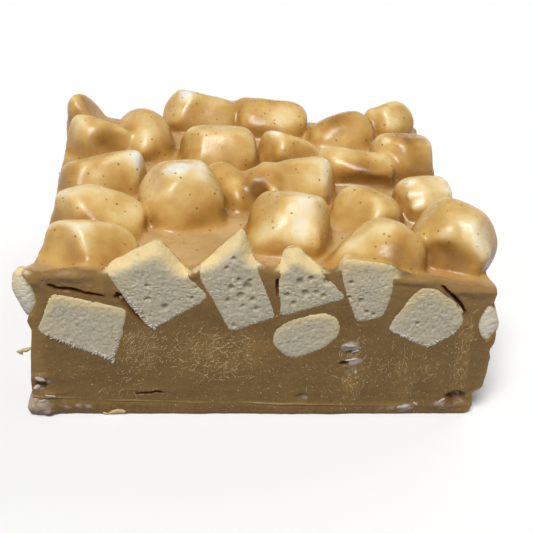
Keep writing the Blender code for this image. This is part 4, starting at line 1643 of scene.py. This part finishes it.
# Ranges that sizes are drawn from, mm
FLECK_STEP, FIBRE_STEP = (0.02, 0.07), (0.07, 0.4)
FLECK_RADIUS, FIBRE_RADIUS, SIDE_RADIUS = (0.05, 0.1), (0.025, 0.05), (0.035, 0.085)
TUFT_ROOT, TUFT_RADIUS, TUFT_LIFT = (0.6, 1.2), (0.05, 0.13), (-0.06, 0.16)
SIDE_HEIGHTS = (1.5, 25)  # of the fibres on the side and back cuts
SIDE_SPREAD = 0.25  # spread of their steps
TUFT_SPLAY, TUFT_REACH = 0.9, (0.4, 1.2)  # how far a tuft fans out, and its reach from the given length
TUFT_SHARES = (0, 0.35, 0.7, 1)  # where its points lie along it

# Torn flakes and crumbs: place across and up, length, width and thickness, slant, and material
FLAKES = [
    ((-26.2, 0.6), (3.2, 1.3, 0.8), 8, "crumb"),
    ((-28.2, 0.35), (1.3, 0.6, 0.5), -20, "crumb"),
    ((-42.3, 14.3), (3.0, 0.7, 0.6), 16, "crumb"),
    ((-43.3, 13.8), (1.2, 0.8, 0.7), -30, "crumb"),
    ((-39.9, 8.3), (1.9, 0.8, 0.5), -14, "bloom"),
    ((-40.7, 6.0), (1.5, 0.8, 0.5), 24, "bloom"),
    ((-38.2, 4.5), (2.0, 0.6, 0.4), -10, "bloom"),
    ((-39.8, 3.4), (1.4, 0.5, 0.3), 15, "bloom"),
    ((16.2, 15.6), (2.4, 0.6, 0.4), -4, "bloom"),
    ((17.4, 14.2), (1.6, 0.4, 0.3), 25, "bloom"),
    ((16.9, 12.5), (2.6, 0.5, 0.4), 6, "bloom"),
    ((17.9, 9.6), (1.1, 0.4, 0.3), 70, "bloom"),
    ((15.8, 7.4), (0.9, 0.4, 0.3), 40, "bloom"),
    ((27.4, 1.9), (2.4, 0.7, 0.4), 8, "bloom"),
    ((29.8, 2.5), (1.2, 0.5, 0.3), -30, "bloom"),
    ((34.8, 3.3), (1.5, 0.6, 0.4), 30, "bloom"),
    ((38.4, 3.8), (1.6, 0.6, 0.4), -35, "bloom"),
    ((-25.2, 24.7), (0.9, 0.7, 0.6), 0, "bloom"),
]

# Edges where the knife tore the foam to tufts: both ends across and up, count, and length, mm
TUFTS = [
    ("front_1", (-38.6, 17.0), (-26.8, 11.8), 90, 0.75),
    ("front_1", (-26.4, 11.4), (-25.2, 16.6), 26, 0.6),
    ("front_2", (-24.6, 24.8), (-19.8, 18.6), 40, 0.6),
    ("front_2", (-19.7, 18.6), (-11.0, 24.2), 30, 0.5),
    ("front_3", (-5.9, 18.2), (3.0, 21.4), 16, 0.35),
    ("front_4", (3.2, 21.5), (14.6, 25.4), 16, 0.3),
    ("top_front_dome", (17.0, 20.4), (21.6, 21.4), 12, 0.35),
    ("front_6", (23.0, 18.8), (30.6, 14.8), 50, 0.65),
    ("front_6", (30.8, 14.7), (36.0, 18.6), 34, 0.5),
]


def thread(path, radius, number):
    """Points and faces of a three-sided thread along a path that tapers to both ends."""
    path = np.array(path, float)
    run = np.gradient(path, axis=0)
    run /= np.linalg.norm(run, axis=1)[:, None] + 1e-9
    out = np.array((0, -1.0, 0))
    side = np.cross(run, out)
    side /= np.linalg.norm(side, axis=1)[:, None] + 1e-9
    share = np.linspace(0, 1, len(path))[:, None]
    width = radius * (THREAD_END + (1 - THREAD_END) * np.sin(math.pi * share))
    rings = np.stack((path + side * width, path + out * width, path - side * width), axis=1)
    faces = []
    for index in range(len(path) - 1):
        here = number + index * 3
        for corner in range(3):
            after = (corner + 1) % 3
            faces.append((here + corner, here + after, here + 3 + after, here + 3 + corner))
    last = number + (len(path) - 1) * 3
    faces += [(number + 2, number + 1, number), (last, last + 1, last + 2)]
    return rings.reshape(-1, 3), faces


def on_cut(x, z, lift):
    """Places on the front cut, raised from it by a little."""
    return np.stack((x, FRONT - np.minimum(front_relief(x, z), HIGHEST_DRAG) - lift, z), axis=1)


def joined(parts):
    """One list of points and one of faces from many threads, each a path and a radius."""
    places, faces, number = [], [], 0
    for path, radius in parts:
        some, loops = thread(path, radius, number)
        places.append(some)
        faces += loops
        number += len(some)
    return np.concatenate(places), faces


def fibre_line(draw, place, size, slant, spread):
    """A wandering line on the front cut, across and up, and whether it is a short, thick fleck."""
    x = draw.gauss(place[0], size[0])
    z = draw.gauss(place[1], size[1])
    heading = math.radians(slant + spread * draw.uniform(-1, 1))
    fleck = draw.random() < (SCATTERED if size[0] > WIDE_BUNDLE else FLECKS)
    step = draw.uniform(*(FLECK_STEP if fleck else FIBRE_STEP))
    spots = []
    for _ in range(FIBRE_POINTS):
        spots.append((x, z))
        heading += draw.uniform(-FIBRE_TURN, FIBRE_TURN)
        x += step * math.cos(heading)
        z += step * math.sin(heading)
    return *np.array(spots).T, fleck


def on_butterscotch(x, z):
    """Whether a line lies wholly on the cut butterscotch, clear of the foam, the rim and the ends."""
    if min(outline(x, z, face).min() for face in CUT_FACES) < 0.25:
        return False
    below = (read_off(FRONT_RIM, x) - z).min()
    return below >= CLEAR and np.abs(x).max() <= CUT_REACH and z.min() >= CLEAR


class SQUARE_OT_fibres(bpy.types.Operator):
    """Drags up the pale fibres on the cuts"""

    bl_idname = "marshmallow_square.fibres"
    bl_label = "Fibres on the cuts"

    def execute(self, context):
        draw = random.Random(5)
        parts = []
        for place, size, count, *slant in FIBRES:
            for _ in range(count):
                x, z, fleck = fibre_line(draw, place, size, *slant)
                if on_butterscotch(x, z):
                    radius = draw.uniform(*(FLECK_RADIUS if fleck else FIBRE_RADIUS))
                    parts.append((on_cut(x, z, -0.01), radius))
        for index, (axis, way) in enumerate(SIDES):
            for _ in range(SIDE_FIBRES):
                steps = [[draw.gauss(0, SIDE_SPREAD) for _ in range(3)] for _ in range(FIBRE_POINTS)]
                path = np.cumsum(steps, axis=0)
                path[:, axis] = way * SLAB_DEPTH / 2
                path[:, 1 - axis] += draw.uniform(-32, 32)
                path[:, 2] += draw.uniform(*SIDE_HEIGHTS)
                parts.append((onto_cut(path, index, 0.02), draw.uniform(*SIDE_RADIUS)))
        item = plain_object("scrape_fibres", *joined(parts))
        scraped = pale_scrape("scraped_butterscotch", "DFC697", 0.6)
        place_piece(item, ["butterscotch"], [scraped])
        return {"FINISHED"}


CRUMPLE = 0.16  # how uneven a flake is, mm
FLAKE_SHIFT = 9.1  # gives each flake an unevenness of its own


class SQUARE_OT_flakes(bpy.types.Operator):
    """Makes the torn flakes and crumbs on the front cut"""

    bl_idname = "marshmallow_square.flakes"
    bl_label = "Flakes and crumbs"

    def execute(self, context):
        finishes = {
            "crumb": pale_scrape("yellow_crumb", "D8BE82", 0.6),
            "bloom": pale_scrape("sugar_bloom", "CDC0B6", 0.7),
        }
        for index, ((px, pz), (length, width, thick), slant, finish) in enumerate(FLAKES):
            shape = bmesh.new()
            bmesh.ops.create_icosphere(shape, subdivisions=3, radius=0.5)
            place = np.array([vert.co for vert in shape.verts])
            faces = [[vert.index for vert in face.verts] for face in shape.faces]
            shape.free()
            place *= (length, thick, width)
            crumpled = [ripple(place + index * FLAKE_SHIFT, 0.8, seed) for seed in (0, 1, 2)]
            place += CRUMPLE * np.stack(crumpled, axis=1)
            turn = np.array(Matrix.Rotation(math.radians(-slant), 3, "Y"))
            place = place @ turn.T + on_cut(np.array([px]), np.array([pz]), -0.05)[0]
            place[:, 2] = np.maximum(place[:, 2], BASE_HEIGHT)
            item = plain_object(f"{finish}_{index + 1}", place, faces)
            place_piece(item, ["butterscotch"], [finishes[finish]])
        return {"FINISHED"}


class SQUARE_OT_tufts(bpy.types.Operator):
    """Tears the lower edges of the bared marshmallows to white tufts"""

    bl_idname = "marshmallow_square.tufts"
    bl_label = "Torn foam"

    def execute(self, context):
        material = pale_scrape("torn_foam", "F0EAE0", 0.8)
        draw = random.Random(8)
        tufts = {}
        for node, (ax, az), (bx, bz), count, length in TUFTS:
            run = np.array((bx - ax, bz - az))
            along = run / np.linalg.norm(run)
            out = np.array((along[1], -along[0]))
            for _ in range(count):
                start = np.array((ax, az)) + run * draw.uniform(0, 1) - out * draw.uniform(*TUFT_ROOT)
                heading = out + along * draw.uniform(-TUFT_SPLAY, TUFT_SPLAY)
                reach = length * draw.uniform(*TUFT_REACH)
                spots = [start + heading * reach * share for share in TUFT_SHARES]
                x, z = np.array(spots).T
                y = FRONT - 0.2 + np.linspace(0, 1, len(TUFT_SHARES)) * draw.uniform(*TUFT_LIFT)
                path = np.stack((x, y, z), axis=1)
                tufts.setdefault(node, []).append((path, draw.uniform(*TUFT_RADIUS)))
        for node, parts in tufts.items():
            item = plain_object(f"torn_{node}", *joined(parts))
            place_piece(item, [f"marshmallow_{node}"], [material])
        return {"FINISHED"}


BACK = 2  # the back cut's place in SIDES
SIDE_STEP, HIDDEN_STEP = 1.0, 1.2  # longest edges of the side pieces and of those under the coat, mm
FLAT_STEP = 0.45  # and of their sliced faces
FACING, SLICE_REACH = 0.85, 1.6  # a face turned so far to a cut, and so close to it, is sliced
SPLIT_ROUNDS, SMOOTH_ROUNDS, TUCK_ROUNDS = 3, 6, 12
TUCK_STEP = 0.06  # share of its distance from the middle that a point moves in each round
SMOOTHING = {"factor": 0.5, "use_axis_z": True}
FRONT_COVER = 4.5  # butterscotch left before the marshmallows behind the front cut, mm
CORNER_CLEAR = 28.0  # nearer the corners than this the coat wraps round the back too, mm
TUCK = 0.4  # how deep the other sides lie under their coat, mm
SMALLEST_SLICE = 150  # points in a sliced face that is worth baring


def copy_of(node, name):
    """A loose copy of a solid to work into a piece."""
    source = frame["nodes"][node]
    mesh = source.data.copy()
    mesh.transform(source.matrix_world)
    mesh.materials.clear()
    item = bpy.data.objects.new(name, mesh)
    bpy.context.scene.collection.objects.link(item)
    return item


def sliced_faces(shape):
    """A mesh's faces that lie in the left, right and back cut, in three lists."""
    centres = np.array([face.calc_center_median() for face in shape.faces]) / MM
    rows = []
    for (axis, way), depths in zip(SIDES, past_cuts(centres)):
        near = [face for face, depth in zip(shape.faces, depths) if depth > -SLICE_REACH]
        rows.append([face for face in near if face.normal[axis] * way > FACING])
    return rows


def subdivide(shape, edges, longest):
    """Splits the longer edges of a mesh, and keeps it in triangles."""
    long = [edge for edge in edges if edge.calc_length() > longest * MM]
    if long:
        bmesh.ops.subdivide_edges(shape, edges=long, cuts=1, use_grid_fill=True)
        bmesh.ops.triangulate(shape, faces=shape.faces[:])


def soften(item, step, face_step):
    """Rounds a solid's facets, and says which of its points lie in the left, right and back cut."""
    shape = bmesh.new()
    shape.from_mesh(item.data)
    bmesh.ops.remove_doubles(shape, verts=shape.verts[:], dist=0.01 * MM)
    bmesh.ops.triangulate(shape, faces=shape.faces[:])
    for _ in range(SPLIT_ROUNDS):
        subdivide(shape, shape.edges[:], step)
    for _ in range(SPLIT_ROUNDS):
        bared = [face for row in sliced_faces(shape) for face in row]
        subdivide(shape, {edge for face in bared for edge in face.edges}, face_step)
    flats = [{vert for face in row for vert in face.verts} for row in sliced_faces(shape)]
    held = set().union(*flats)
    inner = [vert for vert in shape.verts if vert not in held]
    for _ in range(SMOOTH_ROUNDS):
        bmesh.ops.smooth_vert(shape, verts=inner, use_axis_x=True, use_axis_y=True, **SMOOTHING)
        for (axis, _), flat in zip(SIDES, flats):
            ways = {"use_axis_x": axis != 0, "use_axis_y": axis != 1}
            bmesh.ops.smooth_vert(shape, verts=list(flat), **ways, **SMOOTHING)
    shape.verts.index_update()
    numbers = [np.array(sorted(vert.index for vert in flat), int) for flat in flats]
    shape.to_mesh(item.data)
    shape.free()
    return numbers


SIDE_PROUD = 0.16  # how far the foam springs past the side and back cuts


def bare_cuts(item, points, flats, pore, seed):
    """Moves a piece's points, with its sliced faces brought onto the cuts and pores in them."""
    for index, flat in enumerate(flats):
        if len(flat) == 0:
            continue
        along = points[flat, 1 - SIDES[index][0]]
        rough = 0.05 * ripple(points[flat], 0.9, seed) - 0.1 * pits(along, points[flat, 2], pore, seed)
        points[flat] = onto_cut(points[flat], index, SIDE_PROUD + rough)
    item.data.vertices.foreach_set("co", (points * MM).ravel())
    item.data.update()


def tuck(points, distance, depth):
    """Draws the points of a mesh towards their middle until they lie deeper than that below a surface."""
    middle = points.mean(axis=0)
    reach = np.ones(len(points))
    for _ in range(TUCK_ROUNDS):
        shown = distance((middle + (points - middle) * reach[:, None]).astype(np.float32)) > -depth
        reach[shown] -= TUCK_STEP
    return middle + (points - middle) * reach[:, None]


class SQUARE_OT_side_marshmallows(bpy.types.Operator):
    """Makes the marshmallows that the back, left and right cuts bare"""

    bl_idname = "marshmallow_square.side_marshmallows"
    bl_label = "Marshmallows in the other cuts"

    def execute(self, context):
        settings = context.scene.foam
        material = marshmallow_foam(settings)
        for seed, name in enumerate(frame["nodes"]):
            side = name.removeprefix("marshmallow_").split("_")[0]
            if side not in ("back", "left", "right") or name.endswith("bulge"):
                continue
            item = copy_of(name, f"foam_{name.removeprefix('marshmallow_')}")
            flats = soften(item, SIDE_STEP, FLAT_STEP)
            points = points_of(item.data).astype(float)
            bare_cuts(item, points, flats, settings.pore / MM, seed)
            place_piece(item, [name], [material])
            item.data.set_sharp_from_angle(angle=SIDE_SHARP)
        return {"FINISHED"}


class SQUARE_OT_coated_marshmallows(bpy.types.Operator):
    """Makes the white marshmallows under the coat on top, bared where the back cut slices them"""

    bl_idname = "marshmallow_square.coated_marshmallows"
    bl_label = "Marshmallows under the coat"

    def execute(self, context):
        settings = context.scene.foam
        material = marshmallow_foam(settings)
        rule = Square(context.scene.butterscotch)
        shown = {face.node for face in CUT_FACES}
        for seed, sweet in enumerate([*TOP, OVERHANGING]):
            if sweet.node in shown:
                continue
            item = copy_of(f"marshmallow_{sweet.node}", f"white_{sweet.node}")
            flats = soften(item, HIDDEN_STEP, FLAT_STEP)
            flats[:BACK] = (), ()
            bare = len(flats[BACK]) > SMALLEST_SLICE and abs(sweet.place[0]) < CORNER_CLEAR
            if not bare:
                flats[BACK] = ()

            def covered(spots, bare=bare):
                coat = rule.poured(spots) if bare else rule(spots)
                cuts = [*past_cuts(spots)[:BACK], FRONT + FRONT_COVER - spots[:, 1]]
                return np.maximum.reduce([coat, *cuts])

            points = tuck(points_of(item.data).astype(float), covered, TUCK)
            bare_cuts(item, points, flats, settings.pore / MM, seed)
            place_piece(item, [f"marshmallow_{sweet.node}"], [material])
        return {"FINISHED"}


CAMERA_PLACE = (-15.9, -205.4, 127.4)
CAMERA_PITCH, CAMERA_YAW, CAMERA_ROLL = (math.radians(angle) for angle in (29.57, 5.47, 3.29))
CAMERA_SENSOR = 36.0
CAMERA_FOCAL = 1110.0  # in pixels of the 533 px frame
IMAGE_WIDTH = 533


def camera_matrix():
    cos_pitch = math.cos(CAMERA_PITCH)
    ahead = Vector((
        math.sin(CAMERA_YAW) * cos_pitch, math.cos(CAMERA_YAW) * cos_pitch, -math.sin(CAMERA_PITCH)
    ))
    level = Vector((math.cos(CAMERA_YAW), -math.sin(CAMERA_YAW), 0))
    rise = level.cross(ahead)
    right = level * math.cos(CAMERA_ROLL) + rise * math.sin(CAMERA_ROLL)
    up = rise * math.cos(CAMERA_ROLL) - level * math.sin(CAMERA_ROLL)
    turn = Matrix((right, up, -ahead)).transposed().to_4x4()
    return Matrix.Translation(Vector(CAMERA_PLACE) * MM) @ turn


def add_light(name, kind, azimuth, elevation, power):
    """A light that shines on the square from a direction, in degrees."""
    light = bpy.data.lights.new(name, kind)
    light.energy = power
    item = bpy.data.objects.new(name, light)
    item.rotation_euler = light_from(azimuth, elevation).to_track_quat("Z", "Y").to_euler()
    bpy.context.scene.collection.objects.link(item)
    return item


def light_from(azimuth, elevation):
    """Direction from the square to a light."""
    azimuth, elevation = math.radians(azimuth), math.radians(elevation)
    flat = math.cos(elevation)
    return Vector((flat * math.cos(azimuth), flat * math.sin(azimuth), math.sin(elevation)))


KEY_FROM, BACK_FROM, WINDOW_FROM = (-112, 60), (55, 20), (-97, 14)  # azimuth and elevation
KEY_SOFTNESS, BACK_SOFTNESS = math.radians(24), math.radians(60)
WINDOW_SIZE, WINDOW_AWAY = (0.26, 0.2), 0.6  # metres
AIM_HEIGHT = 0.03

FLOOR_HALF = 3.0
FLOOR_CELLS = 40
FLOOR_FLAT = 1.8  # how far the floor stays flat before it sweeps up, metres
FLOOR_RISE = 1.2


class SQUARE_OT_stage(bpy.types.Operator):
    """Makes the floor, the light and the camera"""

    bl_idname = "marshmallow_square.stage"
    bl_label = "Stage"

    def execute(self, context):
        settings = context.scene.stage
        scene = context.scene
        shape = bmesh.new()
        bmesh.ops.create_grid(shape, x_segments=FLOOR_CELLS, y_segments=FLOOR_CELLS, size=FLOOR_HALF)
        for vert in shape.verts:
            out = max(vert.co.xy.length / FLOOR_FLAT - 1, 0)
            vert.co.z = FLOOR_RISE * out**2
        mesh = bpy.data.meshes.new("floor")
        shape.to_mesh(mesh)
        shape.free()
        floor = bpy.data.objects.new("floor", mesh)
        scene.collection.objects.link(floor)
        mesh.materials.append(pale_floor(settings))

        camera = bpy.data.cameras.new("camera")
        camera.sensor_width = CAMERA_SENSOR
        camera.lens = CAMERA_SENSOR * CAMERA_FOCAL / IMAGE_WIDTH
        camera.clip_start = 0.01
        item = bpy.data.objects.new("camera", camera)
        item.matrix_world = camera_matrix()
        scene.collection.objects.link(item)
        scene.camera = item

        floor.visible_diffuse = False
        key = add_light("key", "SUN", *KEY_FROM, settings.key_power)
        key.data.angle = KEY_SOFTNESS
        fill = add_light("back_fill", "SUN", *BACK_FROM, settings.back_power)
        fill.data.angle = BACK_SOFTNESS
        fill.visible_glossy = False
        window = add_light("window", "AREA", *WINDOW_FROM, settings.window_power)
        window.data.shape = "ELLIPSE"
        window.data.size, window.data.size_y = WINDOW_SIZE
        window.location = light_from(*WINDOW_FROM) * WINDOW_AWAY
        aim = window.location - Vector((0, 0, AIM_HEIGHT))
        window.rotation_euler = aim.to_track_quat("Z", "Y").to_euler()
        world = bpy.data.worlds.new("studio")
        world.use_nodes = True
        background = world.node_tree.nodes["Background"]
        background.inputs["Color"].default_value = (1, 1, 1, 1)
        background.inputs["Strength"].default_value = settings.sky
        scene.world = world
        scene.view_settings.view_transform = "Standard"
        return {"FINISHED"}


class SQUARE_PT_panel(bpy.types.Panel):
    """Steps and sizes of the marshmallow square"""

    bl_idname = "SQUARE_PT_panel"
    bl_label = "Marshmallow Square"
    bl_space_type = "VIEW_3D"
    bl_region_type = "UI"
    bl_category = "Marshmallow Square"

    def draw(self, context):
        for group, operators in STEPS:
            box = self.layout.box()
            settings = getattr(context.scene, group)
            for name in settings.__annotations__:
                box.prop(settings, name)
            for operator in operators:
                box.operator(operator.bl_idname)


STEPS = [
    ("butterscotch", [SQUARE_OT_butterscotch, SQUARE_OT_fibres, SQUARE_OT_flakes]),
    (
        "foam",
        [
            SQUARE_OT_cut_marshmallows,
            SQUARE_OT_tufts,
            SQUARE_OT_side_marshmallows,
            SQUARE_OT_coated_marshmallows,
        ],
    ),
    ("stage", [SQUARE_OT_stage]),
]
GROUPS = {"butterscotch": ButterscotchSettings, "foam": FoamSettings, "stage": StageSettings}
CLASSES = [*GROUPS.values(), *(operator for _, row in STEPS for operator in row), SQUARE_PT_panel]


def register():
    for item in CLASSES:
        bpy.utils.register_class(item)
    for name, group in GROUPS.items():
        setattr(bpy.types.Scene, name, bpy.props.PointerProperty(type=group))


def unregister():
    for name in GROUPS:
        delattr(bpy.types.Scene, name)
    for item in reversed(CLASSES):
        bpy.utils.unregister_class(item)


def main():
    register()
    for _, operators in STEPS:
        for operator in operators:
            group, name = operator.bl_idname.split(".")
            getattr(getattr(bpy.ops, group), name)()


if __name__ == "__main__":
    main()
